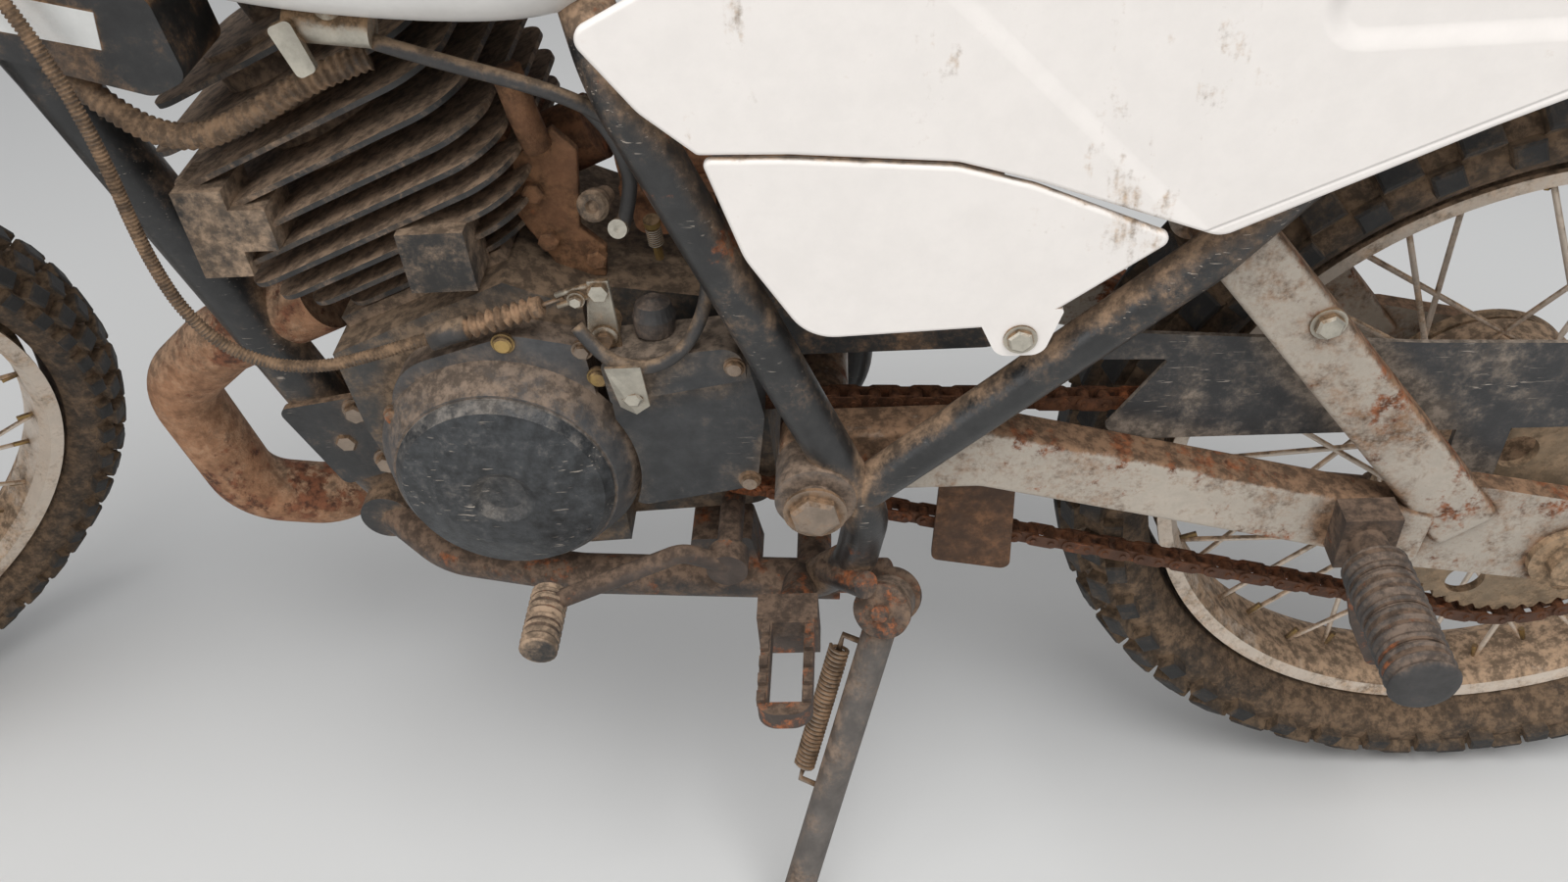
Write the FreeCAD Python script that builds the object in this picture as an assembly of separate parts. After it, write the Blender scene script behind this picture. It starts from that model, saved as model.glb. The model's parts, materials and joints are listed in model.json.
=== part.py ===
import FreeCAD, Part
import functools
import math
import os

from FreeCAD import Placement, Rotation, Vector

# A single-cylinder dual sport motorcycle, parked on its side stand.
# It is drawn upright and straight ahead, in millimetres: X forward, Y left, Z up, with the
# origin on the ground below the rear axle. At the end the steering is turned to its stop
# and the whole machine is leaned over onto its stand.

# Driving dimensions
WHEELBASE = 1345.0
REAR_RADIUS = 308.0
FRONT_RADIUS = 335.0
REAR_TYRE_HALF = 49.0
FRONT_TYRE_HALF = 39.0
REAR_SECTION = 68.0
FRONT_SECTION = 59.0
REAR_RIM_HALF = 30.0
FRONT_RIM_HALF = 26.0
RAKE = 30.0
TRAIL = 115.0
STEER_LOCK = 48.0
LEAN = 10.0

FORK_HALF_SPACING = 95.0
CLAMP_OFFSET = 45.0
HEAD_LOW = 900.0
HEAD_HIGH = 1045.0
HEAD_RADIUS = 26.0
STEM_RADIUS = 15.0
TURN_GAP = 5.0
PIN_GAP = 0.4

FRAME_TUBE = 14.0
DOWNTUBE = 19.0
BACKBONE = 22.0
RAIL_TUBE = 12.0
FRAME_HALF = 123.0
CRADLE_HALF = 80.0

CRANK_X = 659.0
CRANK_Z = 414.0
CYLINDER_LEAN = 22.0
DECK_HEIGHT = 105.0
CASE_LEFT = 80.0
CASE_RIGHT = 75.0
CASE_NARROW = 54.0
COVER_DEPTH = 18.0
COVER_RADIUS = 66.0
COVER_FACE = 117.0
COLLAR_RADIUS = 80.0

PIVOT_X = 471.0
PIVOT_Z = 411.0
ARM_INNER = 82.0
ARM_OUTER = 108.0
ARM_EDGE = 4.0
AXLE_RADIUS = 8.5
CHAIN_Y = 66.0
CHAIN_PITCH = 12.7
CHAIN_HALF = 7.5
CHAIN_HEIGHT = 5.0
TOOTH_GAP = 1.0
REAR_TEETH = 48
FRONT_TEETH = 16
SPROCKET_X = 550.0
SPROCKET_Z = 402.0

BAR_RADIUS = 11.0
BAR_HALF = 410.0
PANEL_Y = 138.0
PANEL_WALL = 4.0
PANEL_EDGE = 2.5
EXHAUST_RADIUS = 25.0


# Working values that follow from the driving dimensions
RAKE_SIN = math.sin(math.radians(RAKE))
RAKE_COS = math.cos(math.radians(RAKE))
AXIS_FOOT = WHEELBASE + TRAIL
FRONT_RIM_RADIUS = FRONT_RADIUS - FRONT_SECTION
REAR_RIM_RADIUS = REAR_RADIUS - REAR_SECTION
AXLE_RISE = TRAIL * RAKE_SIN + FRONT_RADIUS * RAKE_COS
REAR_PITCH_RADIUS = CHAIN_PITCH / (2 * math.sin(math.pi / REAR_TEETH))
FRONT_PITCH_RADIUS = CHAIN_PITCH / (2 * math.sin(math.pi / FRONT_TEETH))
ALONG_Y = Vector(0, 1, 0)


def fork_point(lead, y, rise):
    """A point of the fork: lead in front of the steering axis, rise along it."""
    x = AXIS_FOOT + lead * RAKE_COS - rise * RAKE_SIN
    z = lead * RAKE_SIN + rise * RAKE_COS
    return Vector(x, y, z)


def rod(start, end, radius):
    """A round bar between two points."""
    run = end - start
    return Part.makeCylinder(radius, run.Length, start, run)


def disc(x, z, y_from, y_to, radius):
    """A round boss whose axis lies across the machine."""
    low = min(y_from, y_to)
    return Part.makeCylinder(radius, abs(y_to - y_from), Vector(x, low, z), ALONG_Y)


def path_wire(corners, closed):
    """Straight runs joined by tangent arcs; corners holds (point, corner radius)."""
    count = len(corners)
    entries = []
    exits = []
    middles = []
    for index, (point, radius) in enumerate(corners):
        end = not closed and index in (0, count - 1)
        back = (corners[index - 1][0] - point).normalize()
        ahead = (corners[(index + 1) % count][0] - point).normalize()
        if end or radius <= 0 or (back + ahead).Length < 0.001:
            entries.append(point)
            exits.append(point)
            middles.append(None)
            continue
        half = back.getAngle(ahead) / 2
        reach = radius / math.tan(half)
        inward = (back + ahead).normalize()
        centre = point + inward * (radius / math.sin(half))
        entries.append(point + back * reach)
        exits.append(point + ahead * reach)
        middles.append(centre - inward * radius)
    edges = []
    for index in range(count):
        if middles[index] is not None:
            edges.append(Part.Arc(entries[index], middles[index], exits[index]).toShape())
        if index == count - 1 and not closed:
            break
        following = entries[(index + 1) % count]
        if (following - exits[index]).Length > 0.001:
            edges.append(Part.LineSegment(exits[index], following).toShape())
    return Part.Wire(edges)


def bent_tube(points, radius, bend):
    """A round tube bent through the points (x, y, z), each bend of one radius."""
    corners = [(Vector(*point), bend) for point in points]
    path = path_wire(corners, False)
    heading = corners[1][0] - corners[0][0]
    ring = Part.Wire(Part.makeCircle(radius, corners[0][0], heading))
    return path.makePipe(Part.Face(ring))


def side_wire(outline, y):
    """A closed outline (x, z, corner radius) seen from the side, at one y."""
    return path_wire([(Vector(x, y, z), radius) for x, z, radius in outline], True)


def side_plate(outline, y_from, y_to):
    """A plate of that outline from y_from to y_to."""
    low = min(y_from, y_to)
    return Part.Face(side_wire(outline, low)).extrude(Vector(0, abs(y_to - y_from), 0))


def softened(plate, faces_y, radius):
    """The plate with the edges of its side faces at those y rounded off."""
    edges = []
    for edge in plate.Edges:
        box = edge.BoundBox
        if any(abs(box.YMin - y) < 0.01 and abs(box.YMax - y) < 0.01 for y in faces_y):
            edges.append(edge)
    return plate.makeFillet(radius, edges)


def cross_section(x, half_width, low, high, corner):
    """A rounded rectangle across the machine at one x."""
    outline = [(-half_width, low), (half_width, low), (half_width, high), (-half_width, high)]
    return path_wire([(Vector(x, y, z), corner) for y, z in outline], True)


def ring_about_y(profile, start=0.0, sweep=360.0):
    """A profile (y, radius) turned about the Y axis, from the angle start above +X."""
    points = [Vector(radius, y, 0) for y, radius in profile]
    face = Part.Face(Part.makePolygon(points + points[:1]))
    face.rotate(Vector(0, 0, 0), ALONG_Y, -start)
    return face.revolve(Vector(0, 0, 0), ALONG_Y, -sweep)


def moved(shape, x, y, z):
    """The shape shifted by x, y and z."""
    copy = shape.copy()
    copy.translate(Vector(x, y, z))
    return copy


def mirrored(shape):
    """The shape on the other side of the machine."""
    return shape.mirror(Vector(0, 0, 0), ALONG_Y)


def joined(shapes):
    """One shape out of several that overlap or touch."""
    return shapes[0].multiFuse(shapes[1:]).removeSplitter()


def both_sides(shape):
    """A left piece and its mirror image, as two separate solids."""
    return Part.makeCompound([shape, mirrored(shape)])


# Wheels: a tyre, and one laced wheel of hub, spokes and rim
SPOKES = 36
SPOKE_RADIUS = 1.9
SPOKE_CROSS = 46.0


LUGS = 35
LUG_HEIGHT = 8.0
LUG_TAPER = 0.86


def wheel_ring(radius, y, count):
    """Evenly spaced points round the axle."""
    step = 2 * math.pi / count
    return [Vector(radius * math.cos(step * turn), y, radius * math.sin(step * turn))
            for turn in range(count)]


def flat_face(points):
    """A flat face through its corners."""
    return Part.Face(Part.makePolygon(points + points[:1]))


def lug_faces(corners):
    """The five faces of one tapered lug that stands on a facet of the carcass."""
    middle = (corners[0] + corners[1] + corners[2] + corners[3]) / 4
    out = (corners[1] - corners[0]).cross(corners[3] - corners[0]).normalize()
    if out.dot(Vector(middle.x, 0, middle.z)) < 0:
        out = out * -1
    tops = [middle + (corner - middle) * LUG_TAPER + out * LUG_HEIGHT for corner in corners]
    faces = [flat_face(tops)]
    for index in range(4):
        after = (index + 1) % 4
        faces.append(flat_face([corners[index], corners[after], tops[after], tops[index]]))
    return faces


def carcass_bands(radius, half_width, rim_radius, rim_half):
    """The carcass's section: the radius and y of each band's left edge."""
    crown = radius - half_width
    bands = []
    for degrees in (16, 50, 82):
        slope = math.radians(degrees)
        bands.append((crown + (half_width - LUG_HEIGHT) * math.cos(slope),
                      half_width * math.sin(slope)))
    bands[0] = ((radius - LUG_HEIGHT) / math.cos(math.pi / (2 * LUGS)), bands[0][1])
    foot = (rim_radius + 0.3) / math.cos(math.pi / LUGS)
    inner = (rim_radius - 8.7) / math.cos(math.pi / LUGS)
    widest = crown - half_width * 0.35
    bands += [(widest, half_width * 0.94), (foot, rim_half + 2), (foot, rim_half - 5.3),
              (inner, rim_half - 5.3)]
    return bands


def tyre(radius, half_width, rim_radius, rim_half):
    """A faceted tyre with staggered rows of lugs, standing on its rim's flanges."""
    bands = carcass_bands(radius, half_width, rim_radius, rim_half)
    faces = []
    fine = 2 * LUGS
    rings = [wheel_ring(ring_radius, y, fine) for ring_radius, y in bands[:3]]
    twins = [wheel_ring(ring_radius, -y, fine) for ring_radius, y in bands[:3]]
    rows = [(twins[0], rings[0], 0), (rings[0], rings[1], 1), (twins[1], twins[0], 1)]
    for low, high, phase in rows:
        for turn in range(fine):
            after = (turn + 1) % fine
            corners = [low[turn], low[after], high[after], high[turn]]
            faces += lug_faces(corners) if turn % 2 == phase else [flat_face(corners)]
    for near, far in ((rings[1], rings[2]), (twins[1], twins[2])):
        for turn in range(fine):
            after = (turn + 1) % fine
            faces.append(flat_face([near[turn], near[after], far[after], far[turn]]))
    for side, shoulder in ((1, rings[2]), (-1, twins[2])):
        coarse = [wheel_ring(ring_radius, side * y, LUGS) for ring_radius, y in bands[3:]]
        for turn in range(LUGS):
            after = (turn + 1) % LUGS
            here, middle, there = shoulder[2 * turn], shoulder[2 * turn + 1], shoulder[2 * after]
            faces.append(flat_face([here, middle, coarse[0][turn]]))
            faces.append(flat_face([middle, coarse[0][after], coarse[0][turn]]))
            faces.append(flat_face([middle, there, coarse[0][after]]))
            for near, far in zip(coarse, coarse[1:]):
                faces.append(flat_face([near[turn], near[after], far[after], far[turn]]))
    ring_radius, y = bands[-1]
    left = wheel_ring(ring_radius, y, LUGS)
    right = wheel_ring(ring_radius, -y, LUGS)
    for turn in range(LUGS):
        after = (turn + 1) % LUGS
        faces.append(flat_face([left[turn], left[after], right[after], right[turn]]))
    shell = Part.makeShell(faces)
    shell.sewShape()
    solid = Part.makeSolid(Part.Shell(shell.Faces))
    if solid.Volume < 0:
        solid.reverse()
    return solid


def laced_wheel(rim_radius, rim_half, hub_profile, flanges):
    """Rim, hub and crossed spokes; flanges holds (y, radius) of each spoke flange."""
    bed = rim_radius - 14
    rim = ring_about_y([
        (-rim_half, rim_radius), (-rim_half + 4, rim_radius), (-rim_half + 5, rim_radius - 9),
        (rim_half - 5, rim_radius - 9), (rim_half - 4, rim_radius), (rim_half, rim_radius),
        (rim_half - 2, rim_radius - 10), (rim_half - 12, bed - 1),
        (12 - rim_half, bed - 1), (2 - rim_half, rim_radius - 10),
    ])
    pieces = [rim, ring_about_y(hub_profile)]
    for index in range(SPOKES):
        flange_y, flange_radius = flanges[index % 2]
        cross = SPOKE_CROSS if index % 4 < 2 else -SPOKE_CROSS
        outer = math.radians(index * 360.0 / SPOKES)
        inner = outer + math.radians(cross)
        reach = rim_radius - 11
        start = Vector(flange_radius * math.cos(inner), flange_y, flange_radius * math.sin(inner))
        end_y = flange_y / abs(flange_y) * 4.0
        end = Vector(reach * math.cos(outer), end_y, reach * math.sin(outer))
        pieces.append(rod(start, end, SPOKE_RADIUS))
    return joined(pieces)


@functools.cache
def front_tyre():
    shape = tyre(FRONT_RADIUS, FRONT_TYRE_HALF, FRONT_RIM_RADIUS, FRONT_RIM_HALF)
    return moved(shape, WHEELBASE, 0, FRONT_RADIUS)


@functools.cache
def rear_tyre():
    shape = tyre(REAR_RADIUS, REAR_TYRE_HALF, REAR_RIM_RADIUS, REAR_RIM_HALF)
    return moved(shape, 0, 0, REAR_RADIUS)


FRONT_HUB_HALF = 52.0
REAR_HUB_HALF = 56.0
BRAKE_DRUM = 70.0


@functools.cache
def front_wheel():
    bore = AXLE_RADIUS + PIN_GAP
    profile = [
        (-FRONT_HUB_HALF, bore), (-FRONT_HUB_HALF, 30), (-30, 46), (-25, 46), (-20, 30),
        (6, 30), (10, BRAKE_DRUM), (FRONT_HUB_HALF, BRAKE_DRUM), (FRONT_HUB_HALF, bore),
    ]
    shape = laced_wheel(FRONT_RIM_RADIUS, FRONT_RIM_HALF, profile, [(30, 68), (-27, 42)])
    return moved(shape, WHEELBASE, 0, FRONT_RADIUS)


@functools.cache
def rear_wheel():
    bore = AXLE_RADIUS + PIN_GAP
    profile = [
        (-REAR_HUB_HALF, bore), (-REAR_HUB_HALF, BRAKE_DRUM), (-10, BRAKE_DRUM), (-6, 34),
        (24, 34), (28, 60), (34, 60), (38, 48), (REAR_HUB_HALF + 6, 48), (REAR_HUB_HALF + 6, bore),
    ]
    shape = laced_wheel(REAR_RIM_RADIUS, REAR_RIM_HALF, profile, [(31, 56), (-28, 68)])
    return moved(shape, 0, 0, REAR_RADIUS)


@functools.cache
def rear_sprocket():
    """A steel ring of teeth with windows, bolted against the hub's left face."""
    face = REAR_HUB_HALF + 6
    tip = REAR_PITCH_RADIUS - CHAIN_HEIGHT - TOOTH_GAP
    root = tip - 4
    points = []
    for tooth in range(REAR_TEETH):
        for share, radius in ((0.0, root), (0.3, tip), (0.6, tip), (0.9, root)):
            angle = 2 * math.pi * (tooth + share) / REAR_TEETH
            points.append(Vector(radius * math.cos(angle), face, radius * math.sin(angle)))
    plate = Part.Face(Part.makePolygon(points + points[:1])).extrude(Vector(0, 6, 0))
    holes = [disc(0, 0, face - 1, face + 7, AXLE_RADIUS + PIN_GAP + 12)]
    for window in range(6):
        angle = math.radians(60 * window)
        x = 68 * math.cos(angle)
        z = 68 * math.sin(angle)
        holes.append(disc(x, z, face - 1, face + 7, 13))
    return moved(plate.cut(Part.makeCompound(holes)), 0, 0, REAR_RADIUS)


# Steering: clamps on a stem, two fork legs, bars and what they carry
CLAMP_DEPTH = 26.0


def fork_placed(shape):
    """A shape drawn upright about the steering axis, set at the rake."""
    copy = shape.copy()
    copy.Placement = Placement(Vector(AXIS_FOOT, 0, 0), Rotation(ALONG_Y, -RAKE)).multiply(
        copy.Placement)
    return copy


FORK_TUBE = 17.0
SLIDER = 22.0
SLIDER_TOP = 620.0
BOOT_TOP = 745.0
TUBE_TOP = HEAD_HIGH + TURN_GAP + CLAMP_DEPTH + 12


def clamp_plate(low, depth):
    """One triple clamp: a plate around both fork tubes and the stem."""
    half = FORK_HALF_SPACING
    corners = [
        (Vector(-24, -14, low), 10), (Vector(20, -half - 26, low), 22),
        (Vector(68, -half - 26, low), 22), (Vector(68, -half + 26, low), 14),
        (Vector(38, -30, low), 12), (Vector(38, 30, low), 12),
        (Vector(68, half - 26, low), 14), (Vector(68, half + 26, low), 22),
        (Vector(20, half + 26, low), 22), (Vector(-24, 14, low), 10),
    ]
    plate = Part.Face(path_wire(corners, True)).extrude(Vector(0, 0, depth))
    for side in (-1, 1):
        foot = Vector(CLAMP_OFFSET, side * half, low - 1)
        plate = plate.cut(Part.makeCylinder(FORK_TUBE, depth + 2, foot))
    return plate


@functools.cache
def fork_clamps():
    """Both clamps on their stem, with the posts that hold the bar."""
    low = HEAD_LOW - TURN_GAP - CLAMP_DEPTH
    high = HEAD_HIGH + TURN_GAP
    stem = Part.makeCylinder(STEM_RADIUS - PIN_GAP, high + CLAMP_DEPTH - low, Vector(0, 0, low))
    post = Part.makeBox(36, 24, BAR_RISE + BAR_RADIUS + 6 - high - CLAMP_DEPTH,
                        Vector(BAR_LEAD - 18, 28, high + CLAMP_DEPTH))
    shape = joined([clamp_plate(low, CLAMP_DEPTH), clamp_plate(high, CLAMP_DEPTH), stem, post,
                    mirrored(post)])
    return fork_placed(shape).cut(handlebar())


@functools.cache
def fork_tubes():
    """The upper tubes, with their ribbed rubber boots."""
    leg = rod(fork_point(CLAMP_OFFSET, FORK_HALF_SPACING, SLIDER_TOP),
              fork_point(CLAMP_OFFSET, FORK_HALF_SPACING, TUBE_TOP), FORK_TUBE)
    return both_sides(joined([leg, fork_boot()]))


@functools.cache
def fork_sliders():
    """The lower legs, each with the lug that holds the axle ahead of it."""
    leg = rod(fork_point(CLAMP_OFFSET, FORK_HALF_SPACING, AXLE_RISE - 24),
              fork_point(CLAMP_OFFSET, FORK_HALF_SPACING, SLIDER_TOP), SLIDER)
    lug = disc(WHEELBASE, FRONT_RADIUS, FORK_HALF_SPACING - 14, FORK_HALF_SPACING + 14, 21)
    web_from = fork_point(CLAMP_OFFSET, FORK_HALF_SPACING, AXLE_RISE + 30)
    web = rod(web_from, Vector(WHEELBASE, FORK_HALF_SPACING, FRONT_RADIUS), 11)
    bore = disc(WHEELBASE, FRONT_RADIUS, FORK_HALF_SPACING - 40, FORK_HALF_SPACING + 40, AXLE_RADIUS)
    return both_sides(joined([leg, lug, web]).cut(bore))


@functools.cache
def fork_boot():
    """A ribbed rubber boot from the lower leg up its fork tube."""
    ribs = 8
    step = (BOOT_TOP - SLIDER_TOP) / ribs
    profile = [Vector(FORK_TUBE, 0, SLIDER_TOP)]
    for rib in range(ribs):
        low = SLIDER_TOP + rib * step
        profile.append(Vector(SLIDER, 0, low))
        profile.append(Vector(SLIDER + 6, 0, low + step / 2))
    profile.append(Vector(SLIDER, 0, BOOT_TOP))
    profile.append(Vector(FORK_TUBE, 0, BOOT_TOP))
    face = Part.Face(Part.makePolygon(profile + profile[:1]))
    boot = face.revolve(Vector(0, 0, 0), Vector(0, 0, 1), 360)
    boot.translate(Vector(CLAMP_OFFSET, FORK_HALF_SPACING, 0))
    return fork_placed(boot)


@functools.cache
def front_axle():
    """The axle with its spacers, and the fixed cover of the front drum with its lever."""
    half = FORK_HALF_SPACING + 14
    pin = disc(WHEELBASE, FRONT_RADIUS, -half, half, AXLE_RADIUS)
    spacer_to = FORK_HALF_SPACING - 14
    left = disc(WHEELBASE, FRONT_RADIUS, FRONT_HUB_HALF + TURN_GAP, spacer_to, 14)
    right = disc(WHEELBASE, FRONT_RADIUS, -FRONT_HUB_HALF - TURN_GAP, -spacer_to, 14)
    nut = disc(WHEELBASE, FRONT_RADIUS, half, half + 9, 13)
    head = disc(WHEELBASE, FRONT_RADIUS, -half, -half - 7, 13)
    face = FRONT_HUB_HALF + TURN_GAP
    plate = disc(WHEELBASE, FRONT_RADIUS, face, face + 9, BRAKE_DRUM - 2)
    boss = disc(WHEELBASE, FRONT_RADIUS, face + 9, FORK_HALF_SPACING - 14, 24)
    arm = side_plate([(WHEELBASE - 30, FRONT_RADIUS + 55, 6), (WHEELBASE + 20, FRONT_RADIUS + 95, 6),
                      (WHEELBASE + 30, FRONT_RADIUS + 85, 6), (WHEELBASE - 22, FRONT_RADIUS + 40, 6)],
                     face + 9, face + 14)
    return joined([pin, left, right, nut, head, plate, boss, arm]).cut(fork_sliders())


BAR_RISE = HEAD_HIGH + 2 * TURN_GAP + CLAMP_DEPTH + 20
GRIP_LENGTH = 122.0
GRIP_RADIUS = 16.0
BAR_POINTS = [
    # lead, y, rise above the bar's middle
    (-25, BAR_HALF, 130), (2, 235, 122), (0, 78, 0), (0, -78, 0), (2, -235, 122), (-25, -BAR_HALF, 130),
]
BAR_LEAD = 20.0


@functools.cache
def bar_points():
    points = []
    for lead, y, rise in BAR_POINTS:
        points.append(fork_point(BAR_LEAD + lead, y, BAR_RISE + rise))
    return points


@functools.cache
def handlebar():
    points = [(point.x, point.y, point.z) for point in bar_points()]
    tube = bent_tube(points, BAR_RADIUS, 60)
    brace_y = 165
    share = (brace_y - 78) / (235.0 - 78)
    left = fork_point(BAR_LEAD + 2 * share, brace_y, BAR_RISE + 122 * share)
    right = Vector(left.x, -left.y, left.z)
    return joined([tube, rod(left, right, 6)])


def bar_end(side, inset):
    """A point on the outer straight of the bar, inset from its end."""
    points = bar_points()
    outer, inner = (points[0], points[1]) if side > 0 else (points[-1], points[-2])
    return outer + (inner - outer).normalize() * inset


@functools.cache
def grips():
    shapes = []
    for side in (1, -1):
        sleeve = rod(bar_end(side, -4), bar_end(side, GRIP_LENGTH), GRIP_RADIUS)
        collar = rod(bar_end(side, GRIP_LENGTH), bar_end(side, GRIP_LENGTH - 6), GRIP_RADIUS + 8)
        shapes.append(joined([sleeve, collar]).cut(handlebar()))
    return Part.makeCompound(shapes)


PERCH_INSET = GRIP_LENGTH + 32
MIRROR_HOLE = 5.0


@functools.cache
def hand_levers():
    """A perch on each side with its lever blade, and the threaded hole for a mirror."""
    shapes = []
    for side in (1, -1):
        near = bar_end(side, GRIP_LENGTH + 50)
        far = bar_end(side, GRIP_LENGTH + 14)
        perch = rod(near, far, 17)
        middle = bar_end(side, PERCH_INSET)
        tip = bar_end(side, 18)
        ahead = Vector(52, 0, -18)
        hinge = middle + Vector(34, side * 8, -10)
        arm = rod(middle, hinge, 9)
        blade = bent_tube([tuple(hinge), tuple(middle + Vector(46, side * 30, -15)),
                           tuple(tip + ahead)], 5.5, 20)
        knob = Part.makeSphere(8, tip + ahead)
        up = Vector(-RAKE_SIN, 0, RAKE_COS)
        post = rod(middle, middle + up * 30, 9)
        hole = rod(middle + up * 12, middle + up * 31, MIRROR_HOLE)
        solid = joined([perch, arm, blade, knob, post]).cut(hole)
        shapes.append(solid.cut(handlebar()))
    return Part.makeCompound(shapes)


LAMP_X = 1118.0
LAMP_Z = 868.0
LAMP_RADIUS = 78.0
LAMP_BOWL = 68.0


@functools.cache
def headlamp():
    """A round lamp in its bowl, held by ears on the fork tubes."""
    profile = [Vector(0, 0, 0)]
    for degrees in range(15, 91, 15):
        slope = math.radians(degrees)
        profile.append(Vector(LAMP_BOWL * (1 - math.cos(slope)), 0, LAMP_RADIUS * math.sin(slope)))
    profile[0:1] = [profile[0], Vector(0, 0, LAMP_RADIUS * 0.12)]
    profile += [Vector(84, 0, LAMP_RADIUS), Vector(84, 0, LAMP_RADIUS - 6), Vector(91, 0, 52),
                Vector(96, 0, 28), Vector(98, 0, 10), Vector(98, 0, 0)]
    bowl = Part.Face(Part.makePolygon(profile + profile[:1]))
    bowl = bowl.revolve(Vector(0, 0, 0), Vector(1, 0, 0), 360)
    bowl.translate(Vector(LAMP_X - 40, 0, LAMP_Z))
    return bowl


@functools.cache
def lamp_bracket():
    """Ears round the fork tubes, arms to the lamp's sides and the front indicators."""
    rise = 975.0
    shapes = []
    for side in (1, -1):
        low = fork_point(CLAMP_OFFSET, side * FORK_HALF_SPACING, rise - 35)
        high = fork_point(CLAMP_OFFSET, side * FORK_HALF_SPACING, rise + 35)
        ear = rod(low, high, FORK_TUBE + 4)
        target = Vector(LAMP_X + 20, side * (LAMP_RADIUS + 3), LAMP_Z)
        middle = fork_point(CLAMP_OFFSET, side * FORK_HALF_SPACING, rise)
        arm = side_plate([(middle.x, middle.z - 24, 8), (target.x + 12, target.z - 14, 8),
                          (target.x + 12, target.z + 14, 8), (middle.x, middle.z + 24, 8)],
                         side * (LAMP_RADIUS - 4), side * (LAMP_RADIUS + 6))
        root = Vector(LAMP_X - 2, side * (LAMP_RADIUS + 4), LAMP_Z - 2)
        stalk = rod(root, root + Vector(0, side * 62, 0), 6)
        pod = Part.makeSphere(27, root + Vector(4, side * 78, 0))
        solid = joined([ear, arm, stalk, pod]).cut(fork_tubes())
        shapes.append(solid.cut(headlamp()))
    return Part.makeCompound(shapes)


@functools.cache
def instruments():
    """Two dials in cups on a plate above the upper clamp."""
    base = fork_point(CLAMP_OFFSET + 14, 0, HEAD_HIGH + TURN_GAP + CLAMP_DEPTH)
    up = Vector(-RAKE_SIN, 0, RAKE_COS)
    shapes = []
    for side in (1, -1):
        foot = base + Vector(10, side * 44, 12)
        shapes.append(rod(foot, foot + up * 62, 40))
    bridge = Part.makeBox(34, 60, 12, Vector(CLAMP_OFFSET - 10, -30, HEAD_HIGH + TURN_GAP + CLAMP_DEPTH))
    shapes.append(fork_placed(bridge))
    solid = joined(shapes)
    return solid.cut(Part.makeCompound([handlebar(), fork_clamps(), fork_tubes()]))


FENDER_DROP = 76.0
FENDER_HALF = 58.0
FENDER_WALL = 4.0


def fender_shell(radius, half, start, sweep):
    """A fender: a flat-topped arch with sloping sides, open underneath."""
    low = radius - 30
    wall = FENDER_WALL
    profile = [
        (-half, low), (-half + 14, radius - 5), (-half + 34, radius), (half - 34, radius),
        (half - 14, radius - 5), (half, low), (half - wall, low), (half - 16, radius - 5 - wall),
        (half - 35, radius - wall), (-half + 35, radius - wall), (-half + 16, radius - 5 - wall),
        (-half + wall, low),
    ]
    return ring_about_y(profile, start, sweep)


@functools.cache
def front_fender():
    """A high fender under the lower clamp."""
    clamp_low = HEAD_LOW - TURN_GAP - CLAMP_DEPTH
    axle = Vector(WHEELBASE, 0, FRONT_RADIUS)
    radius = (fork_point(CLAMP_OFFSET / 2, 0, clamp_low) - axle).Length - FENDER_DROP
    shell = moved(fender_shell(radius, FENDER_HALF, 54, 78), WHEELBASE, 0, FRONT_RADIUS)
    pad = Part.makeBox(60, 70, 100, Vector(-8, -35, clamp_low - 100))
    inside = Part.makeCylinder(radius - 2, 200,
                               Vector(WHEELBASE, -100, FRONT_RADIUS), ALONG_Y)
    return joined([shell, fork_placed(pad).cut(inside)])


# Frame: a head tube and backbone, one downtube, twin cradle, side tubes and seat rails
BACK_FROM = (968.0, 0.0, 812.0)
BACK_TO = (600.0, 0.0, 735.0)


@functools.cache
def frame_backbone():
    """Head tube and backbone with the gusset between them."""
    head = rod(fork_point(0, 0, HEAD_LOW), fork_point(0, 0, HEAD_HIGH), HEAD_RADIUS)
    bone = rod(Vector(*BACK_FROM), Vector(*BACK_TO), BACKBONE)
    gusset = side_plate([(990, 845, 0), (985, 800, 0), (900, 775, 10), (880, 812, 10)], -6, 6)
    bore = rod(fork_point(0, 0, HEAD_LOW - 2), fork_point(0, 0, HEAD_HIGH + 2), STEM_RADIUS)
    return joined([head, bone, gusset]).cut(bore)


DOWN_POINTS = [(966, 0, 818), (900, 0, 640), (798, 0, 328), (786, 0, 305)]


@functools.cache
def frame_downtube():
    """The single front tube, with the yoke for the cradle and the engine's front plates."""
    tube = bent_tube(DOWN_POINTS, DOWNTUBE, 60)
    yoke = rod(Vector(786, -34, 306), Vector(786, 34, 306), DOWNTUBE)
    front = side_plate([(764, 345, 6), (812, 330, 6), (840, 400, 6), (764, 412, 6)],
                       DOWNTUBE - 2, DOWNTUBE + 4)
    shape = joined([tube, yoke, front, mirrored(front)])
    head = rod(fork_point(0, 0, HEAD_LOW), fork_point(0, 0, HEAD_HIGH), HEAD_RADIUS)
    return shape.cut(Part.makeCompound([frame_backbone(), crankcases(), head]))


@functools.cache
def cradle_rails():
    """The two lower tubes under the engine, with their cross tube and the stand's bracket."""
    points = [(780, 26, 302), (735, 62, 296), (640, CRADLE_HALF, 292), (462, CRADLE_HALF, 279)]
    rail = bent_tube(points, FRAME_TUBE, 70)
    cross = disc(480, 281, -CRADLE_HALF, CRADLE_HALF, 12)
    low = side_plate([(560, 322, 4), (520, 322, 4), (514, 286, 4), (566, 290, 4)],
                     CASE_NARROW - 8, CRADLE_HALF)
    shape = joined([rail, mirrored(rail), cross, low, mirrored(low), stand_bracket()])
    return shape.cut(Part.makeCompound([frame_downtube(), crankcases()]))


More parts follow.
